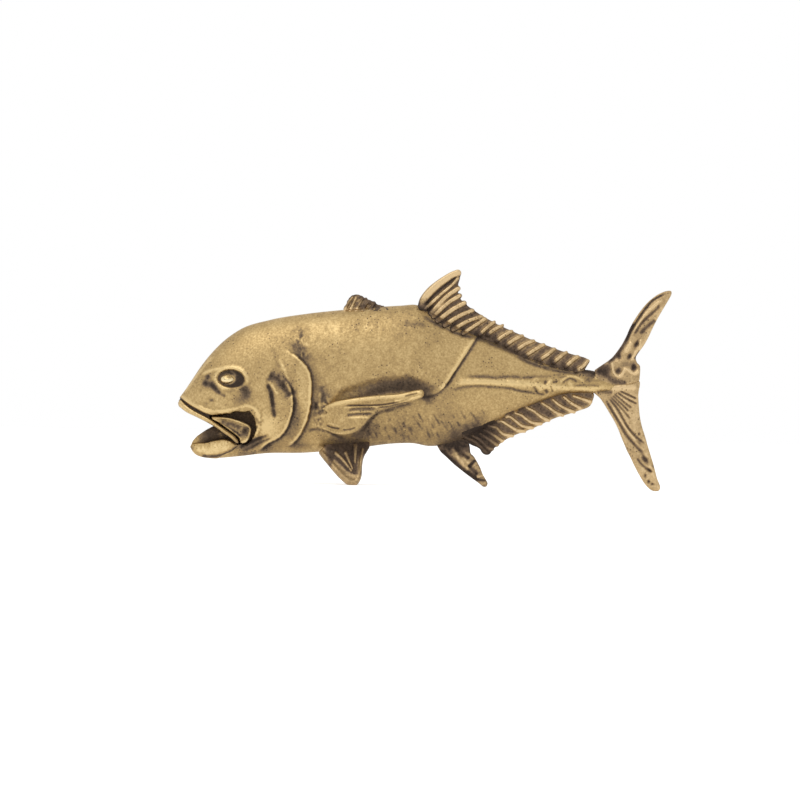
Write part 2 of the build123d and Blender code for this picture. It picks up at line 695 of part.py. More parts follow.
# Pelvic fins, splayed feet that are filed flat on the ground
def pelvic_blade(side):
    """One pelvic fin with its rays and the tang that goes up into the belly."""
    with BuildSketch(pelvic_plane(side)) as face:
        Polygon(*pelvic_points(pelvic_outline), align=None)
    extrude(face.sketch, amount=pelvic_thickness / 2, both=True)
    for ray in pelvic_rays_shares:
        start, end = pelvic_points(side_points(ray))
        with BuildSketch(pelvic_plane(side)) as spine:
            Polygon(*taper(start, end, fin_ray_width, fin_tip_width), align=None)
        extrude(spine.sketch, amount=pelvic_half, both=True)
    split(bisect_by=Plane.XY, keep=Keep.TOP)


with BuildPart() as pelvic_fin_left:
    pelvic_blade(-1)
pelvic_fin_left.part.label = "pelvic_fin_left"

with BuildPart() as pelvic_fin_right:
    pelvic_blade(1)
pelvic_fin_right.part.label = "pelvic_fin_right"


# Pectoral fins, long blades that stand clear of the flanks on a stub
def pectoral_blade(side):
    """One pectoral fin: its stub, its blade and the rays on its outer face."""
    root_x = overall_length * pectoral_root_x_share
    face_y = body_width / 2 + pectoral_gap
    turn = radians(pectoral_splay)
    blade_plane = Plane(
        origin=(root_x, side * face_y, 0),
        x_dir=(cos(turn), side * sin(turn), 0),
        z_dir=(side * sin(turn), -cos(turn), 0),
    )
    with BuildSketch(blade_plane) as face:
        Polygon(*[((x - root_x) / cos(turn), z) for x, z in side_points(pectoral_shares)], align=None)
    extrude(face.sketch, amount=-side * pectoral_thickness)
    for ray in pectoral_rays_shares:
        start, end = [((x - root_x) / cos(turn), z) for x, z in side_points(ray)]
        with BuildSketch(blade_plane) as spine:
            Polygon(*taper(start, end, fin_ray_width, fin_tip_width), align=None)
        extrude(spine.sketch, amount=-side * (pectoral_thickness + pectoral_ray_height))
    inlay(stub_outline, 0, pectoral_seat, face_y + pectoral_thickness / 2, side)


with BuildPart() as pectoral_fin_left:
    pectoral_blade(-1)
pectoral_fin_left.part.label = "pectoral_fin_left"

with BuildPart() as pectoral_fin_right:
    pectoral_blade(1)
pectoral_fin_right.part.label = "pectoral_fin_right"

os.makedirs("parts", exist_ok=True)
pieces = [
    trunk, lower_jaw, upper_lip, maxilla_left, maxilla_right, eye_left, eye_right, first_dorsal_fin,
    second_dorsal_fin, anal_fin, anal_lobe, tail_upper_lobe, tail_lower_lobe, pelvic_fin_left,
    pelvic_fin_right, pectoral_fin_left, pectoral_fin_right,
]
for piece in pieces:
    export_step(piece.part, f"parts/{piece.part.label}.step")
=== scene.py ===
import math
from itertools import combinations, product

import bpy
import numpy as np
from mathutils import Matrix, Vector


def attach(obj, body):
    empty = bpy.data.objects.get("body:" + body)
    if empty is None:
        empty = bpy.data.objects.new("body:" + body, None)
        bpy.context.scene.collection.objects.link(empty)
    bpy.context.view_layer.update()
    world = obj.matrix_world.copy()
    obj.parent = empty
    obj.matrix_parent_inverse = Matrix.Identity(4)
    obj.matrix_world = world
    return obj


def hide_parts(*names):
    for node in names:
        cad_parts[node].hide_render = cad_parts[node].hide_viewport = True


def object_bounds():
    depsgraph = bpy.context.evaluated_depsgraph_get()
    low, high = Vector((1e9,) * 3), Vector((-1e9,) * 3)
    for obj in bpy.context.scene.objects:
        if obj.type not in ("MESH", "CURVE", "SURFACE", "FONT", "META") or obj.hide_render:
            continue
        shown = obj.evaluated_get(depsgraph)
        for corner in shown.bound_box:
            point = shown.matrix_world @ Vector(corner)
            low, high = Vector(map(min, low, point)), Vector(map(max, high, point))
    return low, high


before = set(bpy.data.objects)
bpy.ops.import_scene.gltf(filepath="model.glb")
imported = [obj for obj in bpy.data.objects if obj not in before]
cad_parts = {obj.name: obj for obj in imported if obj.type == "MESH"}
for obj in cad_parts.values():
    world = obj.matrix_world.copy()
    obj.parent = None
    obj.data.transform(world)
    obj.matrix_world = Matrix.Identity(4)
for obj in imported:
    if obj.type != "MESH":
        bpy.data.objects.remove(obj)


# Camera: a long lens square on to the fish's left side. The picture is turned by a small angle, so that the
# tail stands a little lower than the head.
def add(name, data):
    """A new object in the scene."""
    thing = bpy.data.objects.new(name, data)
    bpy.context.scene.collection.objects.link(thing)
    return thing


cad_low, cad_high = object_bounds()
fish_length = 82.0
mm = (cad_high.x - cad_low.x) / fish_length
view_width, view_x, view_z = 133.5, -3.98, 14.28
camera_roll = math.radians(1.277)
lens, sensor = 200.0, 36.0
camera = add("camera", bpy.data.cameras.new("camera"))
camera.data.lens, camera.data.sensor_width = lens, sensor
camera.data.clip_end = 10
to_right = Vector((math.cos(camera_roll), 0, math.sin(camera_roll)))
to_top = Vector((-math.sin(camera_roll), 0, math.cos(camera_roll)))
turned = Matrix((to_right, to_top, (0, -1, 0))).transposed()
standing = Vector((view_x, -view_width * lens / sensor, view_z)) * mm
camera.matrix_world = Matrix.Translation(standing) @ turned.to_4x4()
bpy.context.scene.camera = camera
bpy.context.scene.view_settings.view_transform = "Standard"


# Trunk: head, body and tail stalk in one casting of brass, hollowed at the mouth and chased with the gill
# covers, the lateral line and its scutes. The patina is rubbed off all that stands proud and is left in what
# lies deep. Places are millimetres along the fish (x), from its middle (y) and up (z).
def steps(start, *stretches):
    """Places from a start through stretches that each have their end and their cell."""
    places = [start]
    for end, cell in stretches:
        places.extend(np.arange(places[-1] + cell, end, cell))
    return np.array(places)


def side_view(low, high, cell):
    """Places of the side view in millimetres, one each cell, along the fish and up."""
    return np.meshgrid(*(steps(start, (end, cell)) for start, end in zip(low, high)), indexing="ij")


def curve_through(table, x):
    """Values at x of a smooth curve through (x, value) pairs."""
    at, value = np.array(table, dtype=float).T
    slope = np.gradient(value, at)
    number = np.clip(np.searchsorted(at, x) - 1, 0, len(at) - 2)
    run = at[number + 1] - at[number]
    t = np.clip((x - at[number]) / run, 0, 1)
    rise = t * t * (3 - 2 * t)
    return (
        value[number] + (value[number + 1] - value[number]) * rise
        + run * t * (1 - t) * (slope[number] * (1 - t) - slope[number + 1] * t)
    )


def smooth_path(points, parts=5):
    """A smooth path through given points, as more points."""
    points = np.array(points, dtype=float)
    if len(points) < 3:
        return points
    before = np.vstack([2 * points[0] - points[1], points[:-1]])
    after = np.vstack([points[1:], 2 * points[-1] - points[-2]])
    slope = (after - before) / 2
    path = []
    for a, b, leave, reach in zip(points, points[1:], slope, slope[1:]):
        for t in np.arange(parts) / parts:
            path.append(
                a * (2 * t**3 - 3 * t**2 + 1) + b * (3 * t**2 - 2 * t**3)
                + leave * (t**3 - 2 * t**2 + t) + reach * (t**3 - t**2)
            )
    return np.array(path + [points[-1]])


def trace(view, points, smooth=True):
    """Distance from a line, the same but below zero on its right, and the share of the way along it."""
    x, z = view
    path = smooth_path(points) if smooth else np.array(points, dtype=float)
    runs = np.hypot(*np.diff(path, axis=0).T)
    starts = np.concatenate([[0], np.cumsum(runs)])
    gap, side, share = np.full(x.shape, np.inf), np.ones(x.shape), np.zeros(x.shape)
    for (a, b), (end_a, end_b), run, start in zip(path, path[1:], runs, starts):
        along, across = (end_a - a) / run, (end_b - b) / run
        t = np.clip((x - a) * along + (z - b) * across, 0, run)
        off_x, off_z = x - a - t * along, z - b - t * across
        distance = np.hypot(off_x, off_z)
        nearer = distance < gap
        gap = np.where(nearer, distance, gap)
        side = np.where(nearer, np.where(along * off_z - across * off_x < 0, -1, 1), side)
        share = np.where(nearer, (start + t) / starts[-1], share)
    return gap, gap * side, share


def patch(view, outline, smooth=True):
    """Distance from a closed outline, below zero inside it."""
    x, z = view
    ring = list(outline) + [outline[0]]
    ring = smooth_path(ring) if smooth else np.array(ring, dtype=float)
    gap = trace(view, ring, smooth=False)[0]
    within = np.zeros(x.shape, dtype=bool)
    for (a, b), (end_a, end_b) in zip(ring, ring[1:]):
        if b != end_b:
            crosses = (b > z) != (end_b > z)
            within ^= crosses & (x < a + (end_a - a) * (z - b) / (end_b - b))
    return np.where(within, -gap, gap)


def ramp(low, high, value):
    """Rises smoothly from 0 to 1 as the value goes from low to high."""
    t = np.clip((value - low) / (high - low), 0, 1)
    return t * t * (3 - 2 * t)


def swell(gap, reach):
    """1 on a line or spot, and soft towards 0 at about twice this reach."""
    return np.exp(-(gap / reach) ** 2)


def spot(view, x, z, wide, high, lean=0):
    """How far each place lies from a leaning oval's centre, as a share of its radii."""
    turn = math.radians(lean)
    off_x, off_z = view[0] - x, view[1] - z
    along = off_x * math.cos(turn) + off_z * math.sin(turn)
    across = off_z * math.cos(turn) - off_x * math.sin(turn)
    return np.hypot(along / wide, across / high)


def soften(values, reach):
    """The values, blurred over this many cells."""
    weights = swell(np.arange(-2 * reach, 2 * reach + 1), reach)
    weights /= weights.sum()
    for axis in range(values.ndim):
        margins = [(2 * reach * (a == axis),) * 2 for a in range(values.ndim)]
        padded = np.pad(values, margins, "edge")
        size = values.shape[axis]
        values = sum(w * np.take(padded, np.arange(n, n + size), axis) for n, w in enumerate(weights))
    return values


def both(a, b, blend):
    """The larger of two distances, rounded where they meet: what lies inside both."""
    return np.maximum(a, b) + np.maximum(blend - np.abs(a - b), 0) ** 2 / (4 * blend)


def either(a, b, blend):
    """The smaller of two distances, rounded where they meet: what lies inside one of them."""
    return -both(-a, -b, blend)


def plate(across, depth, outline, blend, slope=0.85):
    """Distances from a plate that reaches this deep on both sides of the middle plane, inside an outline."""
    y = np.abs(across)[None, :, None]
    return both((y - depth[:, None, :]) * slope, outline[:, None, :], blend)


def stroke(view, points, width, depth):
    """A chased line of this depth, or a ridge if the depth is below zero, that runs out at both ends."""
    gap, _, share = trace(view, points)
    return -depth * swell(gap, width) * ramp(0, 0.12, share) * ramp(1, 0.88, share)


def read_off(field, places):
    """A field's values at places between its grid points."""
    base = np.clip(np.floor(places).astype(int), 0, np.array(field.shape) - 2)
    share = np.clip(places - base, 0, 1)
    total = 0
    for corner in product((0, 1), repeat=field.ndim):
        weight = np.prod(np.where(corner, share, 1 - share), axis=1)
        total = total + weight * field[tuple((base + corner).T)]
    return total


def grit(view, wide, seed):
    """Unevenness between -1 and 1, in spots about this wide."""
    places = np.stack([(axis - axis.min()) / wide for axis in view], axis=-1).reshape(-1, 2)
    size = (places.max(axis=0) + 3).astype(int)
    chance = np.random.default_rng(seed).uniform(-1, 1, size)
    base = np.floor(places)
    return read_off(chance, base + ramp(0, 1, places - base)).reshape(view[0].shape)


def worn(relief, span, proud=-0.7, share=0.3):
    """Patina that the rag leaves: more of it in what lies deep, less on what stands proud."""
    return share * np.clip((soften(relief, 4) - relief) / span, proud, 1)


def skin(field):
    """Corners and faces of the surface where a field of distances changes sign."""
    corners = np.array(list(product((0, 1), repeat=3)))
    sizes = np.array(field.shape) - 1
    cells = [field[i:i + sizes[0], j:j + sizes[1], k:k + sizes[2]] for i, j, k in corners]
    crossed = (np.minimum.reduce(cells) < 0) & (np.maximum.reduce(cells) >= 0)
    number = np.full(crossed.shape, -1)
    number[crossed] = np.arange(crossed.sum())
    values = np.stack([cell[crossed] for cell in cells], axis=1)
    total, hits = np.zeros((len(values), 3)), np.zeros((len(values), 1))
    for a, b in combinations(range(8), 2):
        if np.abs(corners[a] - corners[b]).sum() == 1:
            hit = (values[:, a] < 0) != (values[:, b] < 0)
            share = values[:, a] / np.where(hit, values[:, a] - values[:, b], 1)
            total += np.where(hit, 1, 0)[:, None] * (corners[a] + share[:, None] * (corners[b] - corners[a]))
            hits += hit[:, None]
    places = np.argwhere(crossed) + total / hits
    faces = []
    for axis in range(3):
        near = np.take(field, range(sizes[axis]), axis)
        far = np.take(field, range(1, sizes[axis] + 1), axis)
        edges = np.argwhere((near < 0) != (far < 0))
        others = [(axis + 1) % 3, (axis + 2) % 3]
        edges = edges[np.all((edges[:, others] > 0) & (edges[:, others] < sizes[others]), axis=1)]
        ring = []
        for back in ((1, 1), (0, 1), (0, 0), (1, 0)):
            cell = edges.copy()
            cell[:, others] -= back
            ring.append(number[tuple(cell.T)])
        quads = np.stack(ring, axis=1)
        outward = near[tuple(edges.T)] < 0
        faces.append(np.where(outward[:, None], quads, quads[:, ::-1]))
    slopes = np.gradient(field)
    for _ in range(3):
        depth = read_off(field, places)
        slope = np.stack([read_off(s, places) for s in slopes], axis=1)
        places -= np.clip(depth / np.maximum((slope**2).sum(axis=1), 1e-6), -0.5, 0.5)[:, None] * slope
    return places, np.vstack(faces)


def casting(name, node, slot, finish, view, across, field, patina, side=1, stand=None):
    """Makes a cast piece from its field of distances and its map of patina, and sets it in the frame."""
    places, faces = skin(field)
    axes = view[0][:, 0], across, view[1][0]
    points = [np.interp(place, range(len(axis)), axis) for place, axis in zip(places.T, axes)]
    points = np.stack(points, axis=1) * (1, side, 1) * mm
    if side < 0:
        faces = faces[:, ::-1]
    mesh = bpy.data.meshes.new(name)
    mesh.from_pydata(points.tolist(), [], faces.tolist())
    if stand:
        mesh.transform(stand)
    mesh.polygons.foreach_set("use_smooth", [True] * len(faces))
    dark = mesh.attributes.new("patina", "FLOAT", "POINT")
    dark.data.foreach_set("value", np.clip(read_off(patina, places[:, [0, 2]]), 0, 1))
    mesh.materials.append(finish)
    piece = add(name, mesh)
    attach(piece, "root")
    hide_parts(node)


def linear(colour):
    """An sRGB hex colour as linear light."""
    parts = [int(colour[n:n + 2], 16) / 255 for n in (1, 3, 5)]
    return [c / 12.92 if c <= 0.04045 else ((c + 0.055) / 1.055) ** 2.4 for c in parts] + [1]


def put(tree, kind, settings=(), **links):
    """Adds a shader node with its settings and what goes into its inputs, and returns its outputs."""
    node = tree.nodes.new("ShaderNode" + kind)
    for key, value in dict(settings).items():
        setattr(node, key, value)
    for key, value in links.items():
        plug = node.inputs[int(key[1:]) if key[1:].isdigit() else key.replace("_", " ")]
        if isinstance(value, bpy.types.NodeSocket):
            tree.links.new(value, plug)
        else:
            plug.default_value = value
    return node.outputs


def antiqued_brass(name, rubbed, plain, stained, black, sheen):
    """Sand-cast brass, blackened and then rubbed back by hand: satin metal on what stands proud, dull below.

    The grain of the sand shows as speckle, and its pits lie in some of the clouds that the rag has left.
    """
    grain_wide, cloud_wide, pits_apart = 0.33 * mm, 5 * mm, 0.6 * mm
    finish = bpy.data.materials.new(name)
    finish.use_nodes = True
    tree = finish.node_tree
    shader = tree.nodes["Principled BSDF"]
    place = put(tree, "TexCoord")["Object"]
    grain = put(tree, "TexNoise", Vector=place, Scale=1 / grain_wide, Detail=2.0, Roughness=0.6)["Fac"]
    cloud = put(tree, "TexNoise", Vector=place, Scale=1 / cloud_wide, Detail=3.0)["Fac"]
    pits = put(tree, "TexVoronoi", Vector=place, Scale=1 / pits_apart, Randomness=1.0)["Distance"]
    pitted = put(tree, "MapRange", Value=pits, From_Min=0.24, From_Max=0.08, To_Min=0.0, To_Max=1.0)["Result"]
    sparse = put(tree, "MapRange", Value=cloud, From_Min=0.44, From_Max=0.6, To_Min=0.0, To_Max=0.5)["Result"]
    specks = put(tree, "Math", {"operation": "MULTIPLY"}, _0=pitted, _1=sparse)["Value"]
    level = put(tree, "Attribute", {"attribute_name": "patina"})["Fac"]
    for noise, most in ((grain, 0.24), (cloud, 0.12)):
        part = put(
            tree, "MapRange", {"clamp": False}, Value=noise, From_Min=0.0, From_Max=1.0,
            To_Min=-most, To_Max=most,
        )["Result"]
        level = put(tree, "Math", {"operation": "ADD"}, _0=level, _1=part)["Value"]
    level = put(tree, "Math", {"operation": "ADD"}, _0=level, _1=specks)["Value"]
    tint = put(tree, "ValToRGB", Fac=level)["Color"]
    stops = tint.node.color_ramp.elements
    stops[0].position, stops[0].color = 0.08, linear(rubbed)
    stops[1].position, stops[1].color = 0.98, linear(black)
    for position, colour in ((0.32, plain), (0.66, stained)):
        stops.new(position).color = linear(colour)
    bare = put(tree, "MapRange", Value=level, From_Min=0.45, From_Max=0.95, To_Min=1.0, To_Max=0.35)["Result"]
    dull = put(
        tree, "MapRange", Value=level, From_Min=0.15, From_Max=0.85, To_Min=sheen, To_Max=0.75,
    )["Result"]
    height = put(tree, "Math", {"operation": "SUBTRACT"}, _0=grain, _1=specks)["Value"]
    bump_deep = 0.06 * mm
    bump = put(tree, "Bump", Height=height, Strength=0.55, Distance=bump_deep)["Normal"]
    for output, key in ((tint, "Base Color"), (bare, "Metallic"), (dull, "Roughness"), (bump, "Normal")):
        tree.links.new(output, shader.inputs[key])
    return finish


body_brass = antiqued_brass("antiqued_cast_brass", "#D6BB87", "#B19667", "#776450", "#3B2D22", 0.42)

# Body sections: place along the fish, top, bottom, and half the width
sections = [
    (-41, 13.6, 12.2, 0.7), (-40, 14.95, 9.4, 1.85), (-38.8, 16.8, 5.7, 2.7), (-37.2, 19.3, 4.3, 3.5),
    (-34.5, 22.6, 3.95, 4.35), (-31, 25.4, 4.25, 4.95), (-26, 27.15, 4.9, 5.35), (-20, 28.3, 5.1, 5.5),
    (-12, 29.3, 5.95, 5.6), (-4, 30.05, 7.05, 5.45), (-1.6, 30.2, 7.1, 5.3), (1, 29.0, 6.7, 5.1),
    (6, 26.4, 7.8, 4.45), (12, 24.1, 10.9, 3.55), (18, 21.7, 13.8, 2.65), (24, 20.1, 15.9, 1.8),
    (28, 19.9, 16.1, 1.4), (31.8, 18.5, 16.3, 1.15),
]


def oval(x, z):
    """Half the body's width, its middle level, half its height and how far out its side lies at a place."""
    top, bottom, width = (curve_through([(s[0], s[n]) for s in sections], x) for n in (1, 2, 3))
    middle, half = (top + bottom) / 2, (top - bottom) / 2
    return width, middle, half, width * np.sqrt(np.clip(1 - ((z - middle) / half) ** 2, 0, 1))


gill_edge = [
    (-23.6, 22.5), (-22.4, 21.9), (-21.2, 21.2), (-19.9, 20), (-19.05, 18.8), (-18.7, 17.4), (-18.6, 15.5),
    (-18.65, 13.4), (-18.95, 11.6), (-19.5, 9.8), (-20.5, 7.9), (-21.3, 6.9), (-22.6, 5.9),
]
cheek_edge = [
    (-23.7, 18), (-22.4, 16.4), (-21.75, 14.6), (-21.6, 13), (-21.75, 11.7), (-22.2, 10.2), (-22.9, 8.6),
    (-24, 7.5), (-25.6, 6.6), (-27.3, 5.2),
]
cheek_groove = [(-26.1, 16.6), (-25.4, 15), (-25.1, 13.4), (-24.9, 12.1), (-24.7, 10.7)]
cheek_band = [(-26, 18.1), (-24.9, 17.6), (-23.8, 16.8), (-22.8, 15.6), (-22, 14.2)]
cheek_streak = [(-26.1, 17.1), (-25, 15.9), (-24.2, 14.6)]
cheek_ridge = [(-24.4, 20.8), (-23.5, 19.3), (-22.6, 17.4), (-21.6, 15.9), (-21.3, 15.2)]
nape_line = [(-25.5, 22.5), (-24.8, 21.5), (-24.4, 20), (-23.9, 19)]
under_eye = [(-34.3, 15.1), (-33.6, 14.5), (-32.9, 14.2)]
brow = [
    (-37.2, 17.7), (-35.7, 18.45), (-34.3, 18.75), (-32.9, 19.05), (-31.5, 19.1), (-30.2, 18.6),
    (-29.5, 17.9),
]
snout_line = [(-40.1, 14.5), (-39, 16.1), (-37.6, 18.1), (-36.3, 19.7), (-35.2, 21)]
cheek_rim = [
    (-37.3, 12.45), (-36, 11.85), (-34, 11.7), (-32.2, 12), (-30.4, 12.5), (-29.3, 12.75), (-28.2, 12.4),
    (-27.5, 11.5), (-27.15, 10.3), (-27.3, 9.2), (-27.8, 8.2),
]
throat_top = [(-30.6, 5.8), (-29, 6.6), (-27.4, 7.3), (-25.4, 8.1)]
throat_middle = [(-30.2, 5.1), (-28.4, 5.9), (-26.6, 6.9), (-25, 7.5)]
throat_low = [(-31, 4.6), (-29, 4.75), (-27.4, 5.1)]
behind_cheek = [(-21.6, 14.6), (-20.9, 11.5), (-21.2, 9.2), (-22.4, 7.1)]
shoulder_line = [(-19.2, 8.9), (-17.4, 9.1), (-15.6, 8.7), (-14, 7.9), (-12.8, 7.6)]
shoulder_fold = [(-18.6, 12.2), (-17.6, 13.4), (-16.9, 14.9), (-17.2, 16.6)]
side_edge = [
    (9.4, 26.2), (9, 25.6), (8, 24), (6.8, 22), (5.4, 19.8), (4.3, 18), (3.5, 16.8), (2.9, 16.1), (1.9, 15.4),
    (0.5, 15.05), (-0.9, 14.85),
]
line_top = [(6.6, 18.4), (9.9, 18.45), (12, 18.35), (14.2, 18.6), (16, 18.5), (17.7, 18.55), (18.9, 18.85)]
line_top_end = [(18, 18.75), (20.3, 18.8), (23, 19.1)]
line_bottom = [
    (4.3, 15.9), (5.8, 16.5), (7.7, 16.8), (9.2, 16.9), (11.3, 16.8), (14.2, 16.65), (15.4, 16.35),
    (17, 16.1), (19.2, 15.8),
]
line_crest = [
    (4.1, 16.9), (5.8, 17.3), (7.6, 17.55), (12, 17.55), (16.6, 17.4), (20, 17.1), (24.4, 16.8), (28, 16.85),
    (31.8, 17.25),
]
# Painted shadow on the flank along the pectoral fin's lower edge, with a faint chased line in it
fin_shadow_line = [
    (-12.4, 8), (-10.6, 8.7), (-9.3, 10.2), (-8.5, 11.2), (-7.7, 11.95), (-5.8, 12.6), (-3.7, 13.3),
    (-1.3, 14),
]
stalk_line = [(24.7, 17.2), (26.6, 17.4), (29.4, 17.4)]
back_line = [(-3.8, 26.9), (-2, 26.9), (0.6, 26.7)]
hollow_top = [
    (-16.2, 13.8), (-15.4, 15), (-13.5, 16.4), (-11.2, 17.2), (-8.8, 18), (-6.2, 18.5), (-3.3, 18.7),
    (-1.2, 18.4), (1.1, 17.3), (2.6, 16.2),
]
under_dorsal = [
    (-1.6, 29.5), (-0.6, 28.5), (0.8, 27.6), (2.4, 26.8), (4.2, 26), (6.2, 25.3), (8.1, 24.95), (9.9, 24.5),
    (11.4, 23.8), (13.2, 23.2), (15, 22.3), (16.5, 21.4), (18.9, 20.5), (21.1, 19.95), (23.2, 19.55),
    (25, 19.35), (27, 19.4),
]
scratches = [
    [(-0.9, 12.2), (0, 10.6)], [(-1.3, 11), (-0.1, 9.4)], [(1.6, 12.1), (2.7, 10.3)], [(2.9, 11), (4.1, 9.4)],
    [(5.5, 11), (6.1, 10.1)], [(7.8, 12.6), (8.6, 11.4)], [(-4.8, 9.8), (-4.4, 8.4)],
    [(-7.9, 8.8), (-7.6, 7.9)], [(-2.6, 8.5), (-2.1, 7.5)], [(-6.4, 9.8), (-6.1, 8.8)],
    [(0.6, 9.2), (1.2, 8)], [(-3.4, 10.7), (-2.9, 9.5)], [(1.3, 10.6), (1.8, 9.6)],
    [(-5.8, 8.6), (-5.5, 7.6)], [(2.2, 9), (2.7, 8.2)], [(-9.2, 9.2), (-8.9, 8.4)],
    [(4.7, 12.2), (5.2, 11.4)], [(6.6, 12), (7.1, 11.3)], [(9.6, 13), (10.2, 12.2)],
    [(-2.2, 9.9), (-1.8, 9.1)],
]
eye_x, eye_z = -32.6, 17.05

# Grid of the side view, with its finest cells at the head. The sand shows less there and at the stalk.
along = steps(-41.8, (-16, 0.14), (7, 0.15), (15, 0.2), (32.6, 0.16))
view = x, z = np.meshgrid(along, steps(3.2, (20, 0.15), (31, 0.24)), indexing="ij")
width, middle, half, plain_depth = oval(x, z)
facing = np.clip(plain_depth / width, 0, 1)
fine, coarse, cloudy = grit(view, 0.42, 1), grit(view, 1.0, 2), grit(view, 3.0, 3)
sharp = grit(view, 0.28, 19)
sandy = 0.4 + 0.6 * ramp(-21, -17, x) * ramp(6, 1, x)

form = np.zeros(x.shape)
relief = (0.03 * fine + 0.01 * coarse) * sandy
stain = (0.09 * fine + 0.03 * coarse + 0.03 * cloudy) * sandy

# Gill cover and cheek plate: each has a rubbed rim and stands over what lies behind it, dark with patina and
# painted shade.
# Each edge has how far it rises and how soon, the same for the sink behind it, and two tones of dark.
for edge, rise, reach, sunk, behind, dark, fade in (
    (gill_edge, 0.5, 5.0, 0.3, 1.4, 0.46, 0.2), (cheek_edge, 0.22, 2.6, 0.16, 0.8, 0.58, 0.24),
):
    gap, over, share = trace(view, edge)
    gap = gap + 0.05 * coarse
    running = ramp(0, 0.2, share) * ramp(1, 0.93, share)
    front = ramp(0.14, -0.14, over + 0.08 * fine)
    form += running * (front * rise * swell(gap, reach) - (1 - front) * sunk * swell(gap, behind))
    relief += running * front * 0.1 * swell(gap - 0.3, 0.25)
    shade = dark * swell(gap, 0.3) + fade * (1 + 0.3 * coarse) * swell(gap, behind * 1.1)
    stain += running * (1 - front) * shade
    stain -= running * front * 0.3 * swell(gap - 0.22, 0.2)

# Chased lines, ridges and a painted fin shadow: width, depth, and how dark each is and how far its patina
# spreads
uneven = 1 + 0.2 * fine + 0.25 * coarse
for points, wide, deep, dark, spread in (
    (cheek_groove, 0.26, 0.24, 0.44, 0.3), (cheek_groove, 0.3, 0.02, 0.2, 0.75),
    (cheek_band, 0.85, 0.26, 0.4, 1.1), (cheek_band, 0.3, 0.1, 0.12, 0.35),
    (cheek_streak, 0.22, -0.12, -0.22, 0.22), (cheek_ridge, 0.26, -0.14, -0.14, 0.25),
    (nape_line, 0.4, 0.07, 0.08, 0.5), (under_eye, 0.28, 0.14, 0.26, 0.3), (brow, 0.26, -0.18, -0.22, 0.26),
    (snout_line, 0.25, -0.1, -0.15, 0.25), (throat_top, 0.24, 0.2, 0.34, 0.22),
    (behind_cheek, 0.5, 0.03, 0.2, 0.8), (throat_middle, 0.22, 0.18, 0.3, 0.22),
    (throat_low, 0.22, 0.14, 0.2, 0.3), (shoulder_line, 0.25, 0.14, 0.25, 0.3),
    (shoulder_fold, 0.4, 0.08, 0.14, 0.5), (back_line, 0.35, 0.1, 0.12, 0.45),
    (line_top, 0.28, 0.14, 0.24, 0.3), (line_bottom, 0.22, 0.13, 0.24, 0.22),
    (stalk_line, 0.2, 0.12, 0.26, 0.18), (line_top_end, 0.2, 0.06, 0.14, 0.26),
    (fin_shadow_line, 0.3, 0.06, 0.26, 0.32),
    ([(-17.3, 15.3), (-17.2, 13.9), (-17.4, 12.7)], 0.2, -0.06, -0.3, 0.2),
    ([(-18.1, 13.8), (-17.8, 12.2)], 0.2, 0.1, 0.2, 0.25),
    ([(-16.9, 13.3), (-16.7, 12.3)], 0.2, 0.08, 0.24, 0.22), (line_crest, 0.75, -0.4, -0.14, 0.6),
    (under_dorsal, 0.3, 0.1, 0.4, 0.3),
):
    relief += stroke(view, points, wide, deep) * uneven
    stain += stroke(view, points, spread, -dark) * uneven

# Scratches of the file on the belly: those that were read one by one, and short slashes between them
for points in scratches:
    relief += stroke(view, points, 0.13, 0.05)
    stain += stroke(view, points, 0.13, -0.26)
chance = np.random.default_rng(20)
slashes, belly_edge, belly_high = 90, 0.7, 4.3
for _ in range(slashes):
    at_x, share, long, deep = chance.uniform((-9.5, 0, 0.4, 0.04), (11, 1, 0.85, 0.15))
    at_z = curve_through([(s[0], s[2]) for s in sections], at_x) + belly_edge + belly_high * share
    slash = [(at_x - 0.45 * long, at_z + 0.9 * long), (at_x + 0.45 * long, at_z - 0.9 * long)]
    relief += stroke(view, slash, 0.11, 0.25 * deep)
    stain += stroke(view, slash, 0.12, -0.85 * deep)

# Rim of the cheek above the mouth's corner, torn by the file
gap = trace(view, cheek_rim)[0]
gap = gap + 0.1 * fine + 0.1 * coarse * ramp(-31, -29, x)
relief += 0.15 * swell(gap, 0.2)
stain -= 0.2 * swell(gap, 0.16)

# Line down the flank: a ridge on the head's side and a step down on the tail's side
gap, over, share = trace(view, side_edge)
tail_side = ramp(-0.12, 0.12, over + 0.03 * fine)
running = ramp(0, 0.05, share) * ramp(1, 0.9, share) * (1 - 0.6 * ramp(0.64, 0.8, share))
form += running * (1 - tail_side) * 0.22 * swell(gap, 0.8)
relief -= running * tail_side * 0.22 * swell(gap, 0.35)
stain += running * (tail_side * 0.58 * swell(gap, 0.32) - (1 - tail_side) * 0.26 * swell(gap - 0.3, 0.3))
stain += running * tail_side * 0.1 * swell(gap, 1.1)

# Hollow of the flank that the pectoral fin lies over, with a soft upper edge; the fin's painted shadow in it
# is darkest near the fin.
below = -trace(view, hollow_top)[1] + 0.06 * coarse + 0.14 * fine
hollow = ramp(0, 1.5, below) * ramp(4.4, 2.6, below) * ramp(-17, -13, x) * ramp(2.6, 0.6, x)
form -= 0.5 * hollow
shaded = ramp(-16.5, -12.5, x) * ramp(3.4, 1.2, x + 0.5 * below) * ramp(3.6, 2.6, below)
stain += (0.12 + 0.2 * ramp(-12, -5, x)) * ramp(-0.3, 1.3, below) * shaded
stain += 0.22 * ramp(0.7, 2.1, below) * ramp(-13, -7, x) * shaded
